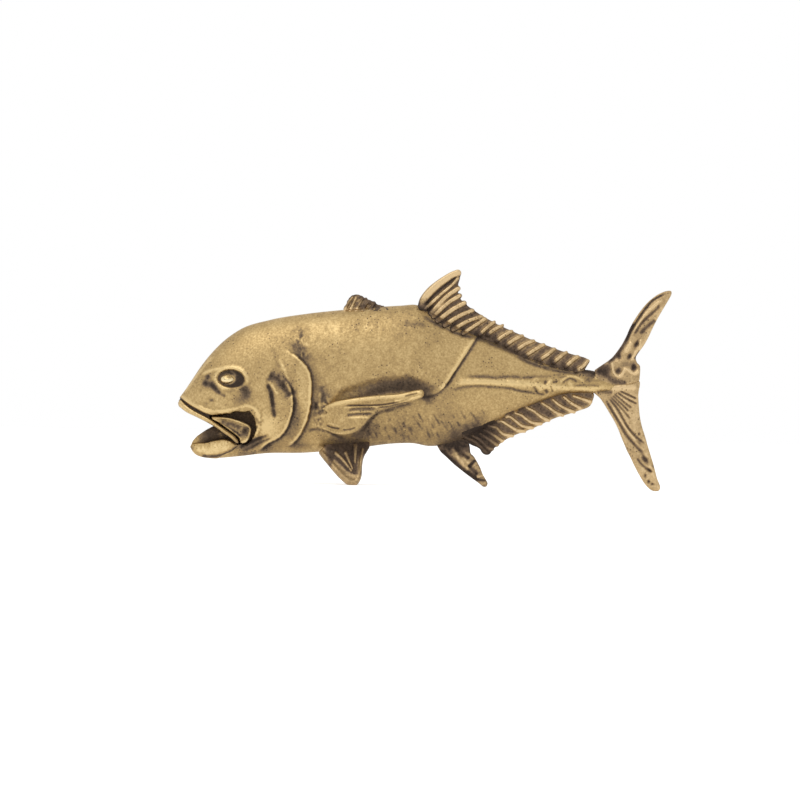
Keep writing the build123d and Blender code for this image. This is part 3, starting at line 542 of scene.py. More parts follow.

# Eye socket, dark with patina and darker behind and below the bead as painted shade, with a thread of painted
# highlight in it
socket = spot(view, -32.1, 17.2, 2.35, 1.55, -3)
bead_gap = spot(view, eye_x, eye_z, 1.32, 0.88, 3)
sunk = ramp(1.05, 0.8, socket)
relief -= 0.5 * sunk
relief += 0.12 * swell(socket - 1.14, 0.12)
# Painted shade of the bead: darker behind it and below it
shade = 0.32 + 0.24 * ramp(-33.8, -31.4, x) + 0.12 * ramp(17.4, 16.2, z)
stain += sunk * ramp(0.85, 1.15, bead_gap) * shade
stain -= 0.12 * swell(socket - 1.18, 0.12)
# Painted highlight: a light thread on the socket's upper rear wall
stain -= stroke(view, [(-32.3, 18.5), (-31.7, 18.2), (-31.25, 17.5)], 0.16, -0.42)

# Soft dents, stains and painted shade near fins, light where tone is below zero: place, radii, lean, depth
# and tone
for at_x, at_z, wide, high, lean, deep, tone in (
    (-29.75, 15.4, 0.95, 1.5, 32, 0.22, 0.62), (-30.3, 13.6, 1.4, 0.9, 10, 0.05, 0.22),
    (-31.8, 15.4, 1.3, 0.32, 8, 0.05, 0.3), (-36.4, 16.3, 0.55, 0.65, 20, 0.16, 0.6),
    (-36, 17.4, 0.45, 0.45, 0, 0.18, 0.6), (-35.5, 16.2, 1.0, 0.65, -30, 0.1, 0.5),
    (-34.6, 15.4, 0.9, 0.5, -45, 0.1, 0.42), (-35.2, 13.6, 0.45, 0.32, 0, 0.08, 0.36),
    (-37.1, 15.2, 0.3, 0.25, 0, 0.06, 0.14), (-36, 13, 0.3, 0.25, 0, 0.06, 0.14),
    (-32.8, 12.9, 0.35, 0.22, 0, 0.06, 0.12), (-25.9, 16.9, 0.35, 0.7, 20, 0.08, 0.2),
    (-26, 9.4, 2.2, 2.4, 0, 0, -0.26), (-20.4, 15, 1.1, 4.5, 0, 0, -0.12),
    (-36.6, 14.2, 2.2, 1.3, 0, 0, -0.04), (-16.3, 14.2, 1.5, 2.6, 8, 0.05, 0.16),
    # Among these, painted shade under the second dorsal's end, above the anal fin's front and by the pelvic
    # fins
    (29.3, 19.45, 2.6, 0.75, -6, 0.1, 0.6), (31, 19, 1.6, 0.9, -15, 0.1, 0.5),
    (28.6, 18.7, 0.32, 0.32, 0, -0.1, -0.4), (27.5, 19.1, 1.6, 0.9, 0, 0, 0.2),
    (26.4, 19.7, 0.9, 0.35, 0, 0, 0.35), (5.6, 8.5, 3.0, 1.5, 28, 0.08, 0.32),
    (8.5, 10.3, 2.0, 1.0, 45, 0.05, 0.26), (-13, 6.9, 3.6, 1.3, 0, 0.08, 0.28),
    (-9.5, 9, 2.2, 1.3, 35, 0.08, 0.22), (-25, 6, 4.2, 0.9, 8, 0, 0.1), (-17.8, 10.2, 1.3, 0.7, 25, 0, -0.24),
    (3.2, 16.5, 0.5, 0.5, 0, -0.06, -0.3), (-20.5, 24.5, 0.4, 0.6, 0, 0.06, 0.2),
    (-20.6, 22.4, 0.7, 0.7, 20, 0.06, 0.18), (-21.8, 22.9, 0.4, 0.3, 0, 0.04, 0.2),
    (-19.8, 21, 0.5, 0.6, 0, 0.05, 0.15), (-20, 6.4, 2.0, 0.8, 0, 0.05, 0.2),
    (26.5, 20.2, 1.6, 0.5, -8, 0.05, 0.4), (30.5, 16.3, 1.4, 0.4, 0, 0.05, 0.34),
    (-27.2, 7.4, 0.9, 0.5, 20, 0.05, 0.3), (-29, 6.4, 2.0, 0.7, 20, 0.08, 0.45),
):
    oval_gap = spot(view, at_x, at_z, wide, high, lean)
    relief -= deep * swell(oval_gap, 0.8)
    stain += tone * swell(oval_gap, 0.9) * (1 + 0.3 * coarse)

# Patches that the sand has left rough, on the nape and behind the gill cover
rough = np.maximum.reduce([swell(spot(view, *rough_oval), 0.9) for rough_oval in (
    (-20.7, 23.5, 1.5, 2.4), (-20.1, 21.5, 1.3, 1.0), (-16.2, 13.4, 1.2, 1.2), (-17.4, 11, 0.9, 2.4),
    (-27.4, 9.8, 0.8, 2.6),
)])
relief += 0.09 * rough * sharp
stain += rough * (0.14 + 0.5 * sharp + 0.14 * coarse)

# Belly and throat, darker towards the bottom as painted shade of the underside
belly = ramp(13, 7.5, z) * ramp(-15, -9, x) * ramp(9, 3, x)
stain += 0.06 * belly + 0.07 * ramp(20, 12, z) * ramp(-17, -13, x) * ramp(12, 6, x)

# Keeled scutes: dark gaps between their small bowed scales, and the light edges of a few
for points, wide, dark in (
    ([(18.1, 17.2), (18.5, 16.6), (18.8, 16.1), (19.2, 15.8), (20.2, 15.7)], 0.17, 0.5),
    ([(20.2, 18), (20.05, 17.4)], 0.2, 0.6), ([(20.2, 16.6), (20.5, 15.9)], 0.22, 0.55),
    ([(20.95, 17.3), (21.2, 16.7), (21.45, 16.1)], 0.13, 0.5), ([(21.3, 17.75), (22.2, 18)], 0.15, 0.5),
    ([(22.4, 18.6), (23, 18.7), (23.8, 18.9)], 0.13, 0.4),
    ([(22.9, 17.6), (23.5, 18.1), (24, 18.45), (24.6, 18.45), (25.1, 18.2), (25.4, 17.8)], 0.16, 0.42),
    ([(23.8, 17.6), (24.1, 16.9)], 0.14, 0.22), ([(21.9, 16.9), (22.3, 16.4)], 0.14, 0.2),
    ([(18.1, 18), (18.6, 18.35), (19.1, 18.05)], 0.16, -0.3),
    ([(20, 16.9), (20.7, 17.5), (21.2, 18.4)], 0.2, -0.34),
    ([(22.5, 17.6), (23.3, 18.4), (23.9, 18.8), (24.5, 18.95), (25.3, 18.75), (26.8, 18)], 0.18, -0.3),
    ([(18.9, 16.9), (19.5, 16.2)], 0.3, -0.2), ([(21.4, 17.1), (21.9, 16.3)], 0.2, -0.2),
    ([(23.9, 17.5), (24.7, 17.7)], 0.3, -0.2), ([(27.6, 17.9), (27.1, 18.5)], 0.2, 0.25),
):
    relief += stroke(view, points, wide, 0.35 * dark)
    stain += stroke(view, points, wide * 1.1, -0.58 * dark)

# Mouth: the gap between lip and jaw, the seat of the jaw, and the hollows beside a thin web. The snout runs
# on behind the lip, so that only a dark groove parts them.
snout_edge = [
    (-42.4, 14.1), (-40.7, 13.95), (-40, 13.5), (-38.9, 12.75), (-37.9, 12.2), (-36.6, 11.55), (-35.5, 11.15),
    (-34.6, 10.6),
]
mouth_gap = [(a - 0.2, b - 0.85) for a, b in snout_edge[:-1]] + [
    (-34.9, 9.3), (-36, 8.7), (-36.9, 8.1), (-37.7, 7.5), (-38.3, 6.8), (-38.7, 6), (-39.3, 4), (-42.4, 3),
]
jaw_seat = [
    (-39, 5.9), (-38.3, 6.2), (-36, 6.3), (-34, 6.7), (-32.8, 6.7), (-31.4, 6.2), (-31, 6.15), (-31.8, 5.6),
    (-33.6, 4.7), (-35, 3.6), (-35.4, 3), (-40, 3),
]
mouth_corner = [
    (-34.6, 10.6), (-33.2, 9.4), (-31.2, 8.3), (-30.5, 7.4), (-30.7, 6.5), (-33, 6.6), (-35, 6.3), (-39, 5.8),
    (-39, 7), (-36.7, 8.7),
]
cheek_cavity = [
    (-35.6, 11.1), (-34, 11.2), (-32.1, 11.4), (-31.3, 11.75), (-30, 11.7), (-28.9, 11.9), (-28.2, 11.1),
    (-27.85, 10.1), (-27.7, 9.1), (-27.9, 8.3), (-28.4, 7.2), (-29.3, 6.4), (-30.9, 6.3), (-31.6, 7.6),
    (-35.6, 10),
]
gap_map = patch(view, mouth_gap, smooth=False)
seat_map = patch(view, jaw_seat, smooth=False)
corner_map = patch(view, mouth_corner, smooth=False)
cavity_map = patch(view, cheek_cavity, smooth=False) + 0.1 * fine
gap, over, share = trace(view, snout_edge)
under_snout = ramp(0.1, -0.25, over) * swell(gap, 1.2) * (x < -34.4)
relief -= 0.55 * under_snout
stain += 0.55 * under_snout - 0.16 * swell(over - 0.35, 0.2) * (x < -35.5)
# The mouth's hollows are dark, partly patina and partly painted shade, and painted light brightens the front
# of its corner
stain += 0.55 * ramp(0.05, -0.3, np.minimum(cavity_map, corner_map))
stain -= 0.55 * ramp(-35.6, -38.4, x) * (corner_map < 0.1)
stain += stroke(view, [(-33.9, 8.3), (-33.5, 7.3)], 0.3, 0.3)

relief = relief * facing
patina = 0.3 + worn(relief, 0.25, -0.8) + stain
relief += form * facing

across = steps(-6.4, (6.5, 0.2))
y = np.abs(across)[None, :, None]
wide, tall, centre = width[:, None, :], half[:, None, :], middle[:, None, :]
radius = np.sqrt((y / wide) ** 2 + ((z[:, None, :] - centre) / tall) ** 2)
steep = np.sqrt((y / wide**2) ** 2 + ((z[:, None, :] - centre) / tall**2) ** 2) / np.maximum(radius, 1e-3)
body = (radius - 1) / np.maximum(steep, 1e-3) - relief[:, None, :]
nose_end, stalk_end, throat_deep = -41, 31.7, 2.0
for limit, blend in ((nose_end - x, 0.3), (x - stalk_end, 0.3), (-gap_map, 0.25), (-seat_map, 0.2)):
    body = both(body, limit[:, None, :], blend)
web = 1.1 + 0.5 * ramp(0, -1.6, corner_map)
body = both(body, -both(corner_map[:, None, :], web[:, None, :] - y, 0.4), 0.25)
body = both(body, -both(cavity_map[:, None, :], throat_deep - y, 0.4), 0.25)
casting("trunk_casting", "trunk", "antique_brass", body_brass, view, across, body, patina)

# Lower jaw: a separate casting with a hollow floor, seated under the mouth. Its lens-shaped side plate is
# rubbed bright and ends in a dark line before the throat.
bright_brass = antiqued_brass("rubbed_cast_brass", "#DCC391", "#BA9E6C", "#7B6751", "#3B2D22", 0.38)
jaw_cell = 0.12
view = x, z = side_view((-39.6, 3.4), (-29.6, 8.2), jaw_cell)
jaw_outline = [
    (-38.85, 5.7), (-38.5, 6.25), (-37.6, 6.4), (-36, 6.5), (-35, 6.8), (-34, 7), (-33, 7.15), (-32, 6.9),
    (-31.2, 6.4), (-30.5, 6.25), (-31.2, 5.5), (-32, 4.95), (-33.4, 4.3), (-34.2, 3.86), (-36, 3.9),
    (-37.4, 4.2), (-38.3, 4.8),
]
plate_edge = [(-30.5, 6.1), (-31.2, 5.6), (-32, 5.05), (-33.4, 4.5), (-34.6, 4.25), (-36.5, 4.2)]
outline = patch(view, jaw_outline)
rim_line = [
    (-38.4, 6.2), (-37, 6.3), (-36, 6.45), (-35, 6.7), (-34, 6.9), (-33, 7.05), (-32, 6.85), (-31.2, 6.4),
]
rim_gap, _, rim_share = trace(view, rim_line)
relief = 0.3 * ramp(0, -0.9, outline) + 0.12 * swell(rim_gap, 0.3)
notches = 34
relief += 0.05 * swell(rim_gap - 0.1, 0.3) * np.sin(rim_share * notches) ** 2
stain = 0.5 * swell(trace(view, plate_edge)[0], 0.25) - 0.2 * ramp(-0.3, -0.9, outline)
stain += 0.16 * swell(rim_gap - 0.75, 0.25) * np.cos(rim_share * notches) ** 2
patina = 0.3 + stain + 0.05 * grit(view, 0.4, 4) + 0.05 * grit(view, 1.0, 5)
across = np.arange(-4.2, 4.3, jaw_cell)
jaw_half = 2.75 * np.sqrt(np.clip((x + 39.1) / 5.5, 0.02, 1)) + 0.22 * np.clip(x + 33.6, 0, 4)
jaw_depth = jaw_half * np.clip((z - 3.55) / 3.3, 0, 1) ** 0.42 + relief
wall, floor = 0.9, 4.9
trough = plate(across, jaw_depth - wall, floor - z, 0.4, 0.75)
jaw = both(plate(across, jaw_depth, outline, 0.5, 0.75), -trough, 0.3)
casting("lower_jaw_casting", "lower_jaw", "polished_brass", bright_brass, view, across, jaw, patina)

# Upper lip: a bar of brass bent round the snout and soldered under it, its face rubbed bright. A dark line
# parts it from the snout, and it runs down behind the corner of the mouth.
lip_cell = 0.12
view = x, z = side_view((-41.6, 6.0), (-30.0, 14.4), lip_cell)
lip_outline = [
    (-41, 12.95), (-40.7, 13.5), (-40.3, 13.35), (-39.6, 12.75), (-38.8, 12.2), (-37.9, 11.7), (-36.7, 11.15),
    (-35.5, 10.5), (-34.4, 9.75), (-33.4, 9.1), (-32.3, 8.4), (-31.3, 7.7), (-30.7, 7), (-30.7, 6.5),
    (-31.2, 6.7), (-32, 7.4), (-33.4, 8.3), (-34.4, 9), (-35.5, 9.6), (-36.7, 10.2), (-37.9, 10.75),
    (-39.4, 11.4), (-40.3, 12), (-40.85, 12.45),
]
outline = patch(view, lip_outline)
bar_depth = np.where(x < -38, 2.95 * np.sqrt(np.clip((x + 41.15) / 3.3, 0.01, 1)), 2.95 + 0.34 * (x + 38))
bar_depth = np.minimum(bar_depth, 4.6)
relief = 0.25 * np.sqrt(np.clip(-outline, 0, 0.5) / 0.5)
patina = 0.24 + 0.3 * ramp(-0.12, 0.02, outline) + 0.12 * ramp(11.2, 7.2, z) + 0.05 * grit(view, 0.4, 6)
across = np.arange(-5.2, 5.3, lip_cell)
lip = plate(across, bar_depth + relief, outline, 0.45, 0.8)
casting("upper_lip_bar", "upper_lip", "polished_brass", bright_brass, view, across, lip, patina)


# Maxillae: a paddle of brass at each corner of the mouth, pinned in the cheek's hollow. A rim runs round its
# sunken face, and a pit is punched in its wide end.
def casting_pair(name, node, *rest, spread=0, lean=0):
    """Makes a left piece and its mirror image, leant outwards at this distance from the middle."""
    for word, side in (("left", -1), ("right", 1)):
        stand = Matrix.Translation((0, side * spread * mm, 0)) @ Matrix.Rotation(side * lean, 4, "X")
        casting(f"{name}_{word}", f"{node}_{word}", *rest, side, stand if lean else None)


paddle_cell = 0.1
view = x, z = side_view((-35.6, 6.0), (-27.8, 11.6), paddle_cell)
paddle_outline = [
    (-35.2, 10.85), (-33.8, 10.85), (-32.4, 10.75), (-31, 10.4), (-29.8, 10), (-28.9, 9.5), (-28.55, 8.9),
    (-28.65, 8.1), (-28.9, 7.3), (-29.4, 6.7), (-30, 6.5), (-30.4, 6.8), (-30.6, 7.35), (-31.2, 7.85),
    (-32.2, 8.55), (-33.2, 9.25), (-34.2, 9.9), (-35.1, 10.35),
]
outline = patch(view, paddle_outline)
paddle_groove = [(-33.6, 10.15), (-32.2, 9.75), (-31, 9.3), (-30.2, 9)]
pit = spot(view, -29.6, 8.5, 0.6, 0.75, -15)
relief = 0.16 * swell(outline + 0.22, 0.2) - 0.3 * swell(pit, 0.85)
relief += stroke(view, paddle_groove, 0.25, 0.14)
paddle_fold = [(-34.2, 10), (-33, 9.5), (-31.8, 8.75), (-30.7, 8.05), (-30.2, 7.2)]
relief += stroke(view, paddle_fold, 0.16, 0.12)
patina = 0.49 - 0.28 * swell(outline + 0.18, 0.16) + 0.42 * swell(pit, 0.9) + 0.1 * grit(view, 0.45, 7)
patina += stroke(view, paddle_fold, 0.18, -0.34) - 0.16 * swell(spot(view, -29.6, 7.2, 0.6, 0.5), 1)
patina += 0.3 * ramp(-0.1, 0.02, outline) + stroke(view, paddle_groove, 0.3, -0.26)
paddle_face = oval(np.clip(x, -34, -28), np.full(x.shape, 10.0))[3] - 0.35 + 0.04 * (x + 32)
across = np.arange(1.4, 5.6, paddle_cell)
paddle_back = 2.0
paddle = plate(across, paddle_face + relief, outline, 0.3, 1)
paddle = both(paddle, paddle_back - across[None, :, None], 0.2)
casting_pair("maxilla_paddle", "maxilla", "polished_brass", bright_brass, view, across, paddle, patina)

# Eyes: a polished bead of brass in each socket, with a shallow punched pupil towards its top, dark partly
# with patina and partly with painted shade under the brow
eye_brass = antiqued_brass("polished_cast_brass", "#EBD7AC", "#C9AF7C", "#7B6751", "#3B2D22", 0.3)
bead_cell = 0.1
view = x, z = side_view((-34.8, 15.4), (-30.4, 18.8), bead_cell)
bead = spot(view, eye_x, eye_z, 1.34, 0.9, 3)
pupil = spot(view, eye_x + 0.1, eye_z + 0.42, 0.75, 0.36, 5)
socket_face = oval(np.full(x.shape, eye_x), np.full(x.shape, eye_z))[3]
bead_depth = socket_face + 0.1 - 0.75 * bead**2 - 0.12 * swell(pupil, 0.9)
patina = 0.06 + 0.4 * swell(pupil, 0.9) + 0.5 * ramp(0.78, 1, bead)
across = np.arange(2.6, 5.8, bead_cell)
y, bead_back = across[None, :, None], 3.0
ball = both(both(y - bead_depth[:, None, :], bead_back - y, 0.2), (bead - 1)[:, None, :], 0.2)
casting_pair("eye_bead", "eye", "eye_brass", eye_brass, view, across, ball, patina)


# Second dorsal fin: a rayed fin cast by itself and let into a slot along the back. Its front rays are thick
# rolls with swollen roots, its rear rays are narrow, and the web between them keeps its patina.
def sand(view, seed, fine, coarse):
    """Unevenness of a fin's skin, in grains and in small clouds."""
    return fine * grit(view, 0.4, seed) + coarse * grit(view, 0.9, seed + 1)


def rolls(view, rays):
    """How round the rays are at each place, its share of the nearest one's way, and how far off that one is.

    Each ray is its points and half its width at the root and at the tip.
    """
    roll, part, reach = (np.full(view[0].shape, start) for start in (0.0, 0.0, np.inf))
    for points, root_half, tip_half in rays:
        gap, _, share = trace(view, points, smooth=len(points) > 2)
        half_width = root_half + (tip_half - root_half) * share
        part = np.where(gap - half_width < reach, share, part)
        roll = np.maximum(roll, np.sqrt(np.clip(1 - (gap / half_width) ** 2, 0, 1)))
        reach = np.minimum(reach, gap - half_width)
    return roll, part, reach


def fin(name, node, view, cell, depth, outline, patina, half, blend, slope=0.85, ground=None):
    """Makes a fin of stained brass with both faces alike. One that stands is cut off at the ground."""
    across = steps(-half, (half + 0.1, cell))
    field = plate(across, depth, outline, blend, slope)
    if ground is not None:
        field = both(field, (ground - view[1])[:, None, :], 0.05)
    casting(name, node, "fin_brass", fin_brass, view, across, field, patina)


fin_brass = antiqued_brass("stained_cast_brass", "#D3B88D", "#B0966E", "#766250", "#3A2C22", 0.42)
fin_cell = 0.12
view = x, z = side_view((-3.0, 17.6), (29.0, 37.2), fin_cell)
dorsal_web = [
    (-1.3, 29.9), (-1, 31.3), (0.2, 33), (1.9, 34.4), (3.9, 35.6), (5, 36), (5.6, 35.7), (5.5, 34.6),
    (5.2, 33.1), (5.5, 31.7), (6.4, 30.7), (7.6, 29.8), (9.2, 28.8), (10.8, 27.9), (12.6, 27), (15.2, 25.9),
    (17.8, 24.8), (20.4, 23.9), (23, 23), (25.2, 22.4), (26.8, 22), (27.4, 21.4), (26.9, 20.3), (26.4, 19.6),
    (25.2, 19.4), (23.2, 19.6), (21.5, 19.95), (19.6, 20.4), (17.6, 21.05), (15.3, 22), (13.7, 22.85),
    (12.5, 23.5), (10.8, 24.2), (9, 24.7), (7, 25.2), (5.4, 25.7), (4, 26.2), (2.6, 26.9), (1.2, 27.6),
    (0, 28.6),
]
lobe_rays = [
    ([(-0.7, 29.9), (-0.1, 31.4), (1.6, 33.3), (3.8, 35), (5.2, 35.7)], 0.66, 0.56),
    ([(-0.1, 29.6), (2.4, 32), (4.2, 33.6), (5.2, 34.8)], 0.38, 0.26),
    ([(0.9, 28.9), (3.2, 31.5), (5.3, 33.1)], 0.46, 0.42),
    ([(1.3, 28.3), (3.6, 30.6), (5.6, 31.9)], 0.42, 0.4), ([(2, 27.6), (4.2, 29.4), (6.4, 30.7)], 0.48, 0.42),
    ([(3.2, 26.9), (5.4, 28.4), (7.8, 29.5)], 0.48, 0.38),
    ([(4.6, 26.2), (6.9, 27.6), (9.3, 28.5)], 0.46, 0.36),
    ([(6.3, 25.6), (8, 26.8), (9.9, 28.1)], 0.42, 0.36),
]
rear_rays = [
    [(9.1, 25.5), (10.2, 26.6), (11.5, 27.7)], [(10.4, 25.5), (11.5, 26.4), (12.9, 27.15)],
    [(11.9, 24.5), (12.9, 25.3), (14.4, 26.2)], [(13.5, 23.8), (14.7, 24.7), (16.2, 25.5)],
    [(15.2, 23), (16.6, 24), (18.1, 24.7)], [(16.7, 22.1), (18.2, 23.1), (19.8, 24.1)],
    [(19.1, 21.5), (20.3, 22.3), (21.6, 23.4)], [(21.4, 21.1), (22.6, 22.1), (23.6, 22.9)],
    [(23.5, 20.5), (24.5, 21.4), (25.5, 22.2)], [(25.2, 19.8), (26.3, 20.5), (27.3, 21.5)],
]
roll, part, reach = rolls(view, lobe_rays + [(ray, 0.4, 0.36) for ray in rear_rays])
outline = either(patch(view, dorsal_web), reach + 0.15 * ramp(6, 9, x), 0.3)
front_edge = [(-1.4, 30), (-1.1, 31.4), (0.2, 33.1), (1.9, 34.6), (4, 35.9), (5.4, 36.2)]
front_gap, _, front_share = trace(view, front_edge)
grain = sand(view, 8, 0.05, 0.07)
fin_depth = np.maximum(0.75 - 0.32 * part, oval(x, z)[3]) + (0.42 - 0.12 * part) * roll
fin_depth += 0.3 * swell(front_gap, 0.7) * ramp(0, 0.2, front_share)
fin_depth += grain * 0.3
fin_depth += 0.18 * swell(part, 0.12) * roll
front_rays = ramp(10, 7, x)
bare = front_rays * roll**0.8 + (1 - front_rays) * ramp(0.4, -0.36, reach) * ramp(0, 0.2, part)
patina = 0.66 + 0.08 * front_rays - (0.46 + 0.14 * front_rays) * bare + 0.16 * swell(part, 0.16) + grain
rubbed = 0.42 * swell(front_gap, 0.75) * ramp(0, 0.15, front_share)
patina -= rubbed + 0.05 * ramp(9, 4, x) * ramp(0.3, 0.7, part)
behind_front = [(-0.2, 30.4), (1.6, 32.2), (3.4, 33.8), (4.8, 34.9)]
patina += 0.4 * swell(trace(view, behind_front)[0], 0.16)
patina += 0.35 * swell(spot(view, -0.9, 29.5, 0.9, 0.6, -40), 1) + 0.2 * ramp(0.25, 0.05, part) * front_rays
fin("second_dorsal_casting", "second_dorsal_fin", view, fin_cell, fin_depth, outline, patina, 6.2, 0.35)

# First dorsal fin: a low torn crest, let into the back. It was never rubbed, but for the first of its spines.
crest_cell, across_cell = 0.09, 0.1
view = x, z = side_view((-14.8, 27.6), (-5.4, 32.6), crest_cell)
crest_web = [
    (-13.9, 28.8), (-13.4, 30), (-13, 30.8), (-12.5, 31.5), (-11.8, 31.7), (-11, 31.55), (-10.3, 31.3),
    (-9.7, 30.9), (-9.1, 30.75), (-8.5, 30.55), (-8, 30.1), (-7.2, 29.85), (-6.3, 29.7), (-6.4, 29),
    (-10, 28.6),
]
spines = [
    ([(-13.6, 28.9), (-13.1, 30.1), (-12.3, 31.2)], 0.3, 0.2),
    ([(-12.7, 28.9), (-12.2, 30), (-11.7, 31.2)], 0.3, 0.2),
    ([(-11.7, 29), (-11.2, 29.9), (-10.6, 31)], 0.28, 0.18),
    ([(-10.6, 29.1), (-10.1, 29.9), (-9.6, 30.6)], 0.28, 0.16), ([(-9.4, 29.2), (-8.6, 30.3)], 0.26, 0.16),
    ([(-8.2, 29.3), (-7.4, 29.9)], 0.24, 0.16),
]
roll, part, _ = rolls(view, spines)
torn, rough = grit(view, 0.45, 10), grit(view, 0.3, 11)
outline = patch(view, crest_web) + 0.13 * torn + 0.08 * rough
crest_depth = np.maximum(0.6 - 0.2 * part, oval(x, z)[3] * ramp(28.4, 29, z))
crest_depth = crest_depth + 0.24 * roll + 0.12 * torn + 0.06 * rough
patina = 0.62 - 0.34 * roll * ramp(-10.4, -12.4, x) + 0.14 * torn + 0.1 * rough + 0.16 * swell(outline, 0.4)
patina -= 0.34 * ramp(29.8, 29, z) * ramp(-8.4, -9.6, x) - 0.14 * swell(spot(view, -8.6, 29.6, 0.9, 0.5), 1)
fin("first_dorsal_casting", "first_dorsal_fin", view, across_cell, crest_depth, outline, patina, 3.4, 0.25)

# Anal fin: thin bent rays that stand on a dark web, let into a slot under the tail stalk, with a rubbed edge
view = x, z = side_view((4.6, 4.4), (29.6, 17.4), fin_cell)
anal_web = [
    (6.2, 9.2), (6.8, 8), (8, 7.1), (9.4, 6.5), (9.9, 5.8), (10.5, 5.45), (11.2, 5.6), (11.8, 6.5),
    (12.6, 7.1), (13.6, 7.9), (15.2, 8.8), (17, 9.5), (18.2, 10), (19.7, 10.75), (21, 11.4), (22.4, 12),
    (24, 12.5), (26, 13.2), (27.5, 13.8), (28.1, 14.7), (28.2, 16.2), (25.6, 16.35), (23.3, 16.1),
    (21.2, 15.4), (19.1, 14.7), (16.7, 13.9), (14.6, 13.1), (12.8, 12.3), (11.4, 11.5), (9.6, 10.6),
    (7.8, 9.9),
]
anal_rays = [
    [(6.6, 8.5), (8.6, 7.6), (10.4, 6)], [(8.3, 8.6), (9.5, 7.9), (10.9, 6.6), (11.6, 6.4)],
    [(9.5, 9), (10.9, 8.1), (12.4, 7.1)], [(10.2, 9.6), (11.7, 8.8), (13.2, 7.8)],
    [(10.9, 10.3), (12.2, 10), (13.3, 9), (14.9, 8.7)],
    [(12.4, 11), (13.1, 11.1), (14.3, 10.4), (15.6, 9.7), (16.9, 9.5)],
    [(13.8, 11.8), (14.4, 11.9), (15.5, 11.1), (16.5, 10.4), (18.2, 10.1)],
    [(15.3, 12.5), (16.3, 12.2), (17.1, 11.6), (18.1, 11), (19.6, 10.8)],
    [(17.1, 13.5), (18.4, 12.9), (19.6, 12), (20.9, 11.4)],
    [(19.7, 14.3), (21, 13.5), (22, 12.8), (23.2, 12.3)],
    [(21.5, 14.9), (22.5, 14.1), (23.8, 13.4), (25.1, 12.9)], [(23.3, 15.4), (24.6, 14.4), (26.1, 13.6)],
    [(24.9, 15.6), (26.5, 15.1), (27.8, 14.7)],
]
roll, part, reach = rolls(view, [(ray, 0.25, 0.36) for ray in anal_rays])
outline = either(patch(view, anal_web), reach + 0.1, 0.2)
grain = sand(view, 12, 0.05, 0.06)
anal_depth = np.maximum(0.62 - 0.2 * part, oval(x, z)[3]) + 0.32 * roll + 0.3 * grain
near_front = ramp(14, 10.5, x)
bare = 0.4 * roll + 0.6 * ramp(0.35, -0.25, reach)
patina = 0.68 - (0.56 - 0.3 * near_front) * bare + 0.28 * near_front + grain
patina -= 0.26 * swell(outline + 0.12, 0.25) * ramp(0.3, 0.8, part) * ramp(12, 14, x)
# The second term is painted shade at the fin's low front, where it meets the lobe and the body
patina += 0.06 * swell(part, 0.15) + 0.12 * ramp(9, 6.5, z) * ramp(12, 8, x)
fin("anal_fin_casting", "anal_fin", view, fin_cell, anal_depth, outline, patina, 5.0, 0.3)


# Anal lobe: a narrow hollowed spur in front of the anal fin, pinned into the belly, which stands on its tip
def chased_lobe(view, lines, pits):
    """Relief and patina of a lobe: lines with width and tone, and pits with radii, lean and tone."""
    grain = sand(view, 14, 0.05, 0.06)
    relief, stain = 0.4 * grain, grain.copy()
    for points, wide, tone in lines:
        relief += stroke(view, points, wide, 0.4 * tone)
        stain += stroke(view, points, wide, -0.6 * tone)
    for at_x, at_z, wide, high, lean, tone in pits:
        hole = swell(spot(view, at_x, at_z, wide, high, lean), 0.9)
        relief -= 0.4 * tone * hole
        stain += 0.7 * tone * hole
    return relief, stain


spur_cell = 0.1
view = x, z = side_view((1.4, -0.4), (11.8, 8.8), spur_cell)
spur_outline = [
    (2.3, 6.9), (3, 5.8), (4, 4.9), (5.1, 3.9), (6.1, 3.1), (7.1, 2.35), (8, 1.7), (8.8, 1.15), (9.6, 0.6),
    (10.2, 0.15), (10.7, 0.15), (10.95, 0.7), (10.6, 1.4), (10.1, 2.2), (9.7, 3.2), (9.1, 4.3), (8.5, 5.2),
    (8, 5.7), (7.8, 6.9), (7.3, 8), (5, 8),
]
spur_lines = (
    ([(2.6, 6.4), (3.5, 5.6), (5.3, 4.1), (7.2, 2.65), (8.8, 1.55), (9.6, 1)], 0.42, 0.75),
    ([(4.7, 6.7), (5.9, 5), (6.8, 3.9), (7.9, 2.6)], 0.4, -0.36),
    ([(6.7, 5), (7.3, 4.4), (7.9, 3.8)], 0.3, -0.25), ([(5.3, 6.7), (6.5, 5.5), (8, 4.7)], 0.3, 0.5),
    ([(7.6, 3.3), (8.9, 4.6)], 0.26, 0.66), ([(8.4, 4.4), (9, 3.6), (9.8, 2.6)], 0.3, -0.15),
    ([(7.8, 3.6), (8.4, 2.9), (9.3, 2.1)], 0.3, 0.46), ([(9, 1.7), (9.6, 1.8), (10.3, 2.1)], 0.24, -0.3),
    ([(8.8, 1.35), (9.7, 1.25), (10.7, 1.15)], 0.18, 0.4), ([(9.6, 0.6), (10.8, 0.75)], 0.25, -0.2),
    ([(7, 4), (7.3, 3.3)], 0.2, 0.2), ([(5.9, 5.6), (6.4, 4.9)], 0.15, 0.2),
)
spur_pits = ((6.4, 7, 2.4, 1.2, 0, 0.5), (4, 6.6, 1.5, 0.8, -40, 0.3))
relief, stain = chased_lobe(view, spur_lines, spur_pits)
spur_depth = np.maximum(0.7 - 0.02 * (6 - z), oval(x, z)[3] * ramp(5.6, 7.2, z)) + relief
patina = 0.46 + 0.12 * grit(view, 0.3, 21) + worn(relief, 0.2, share=0.26) + stain
# Darker towards the top: painted shade under the belly
patina += 0.2 * ramp(4.5, 7.5, z)
outline = patch(view, spur_outline)
fin("anal_lobe_casting", "anal_lobe", view, spur_cell, spur_depth, outline, patina, 5.0, 0.35, ground=0)

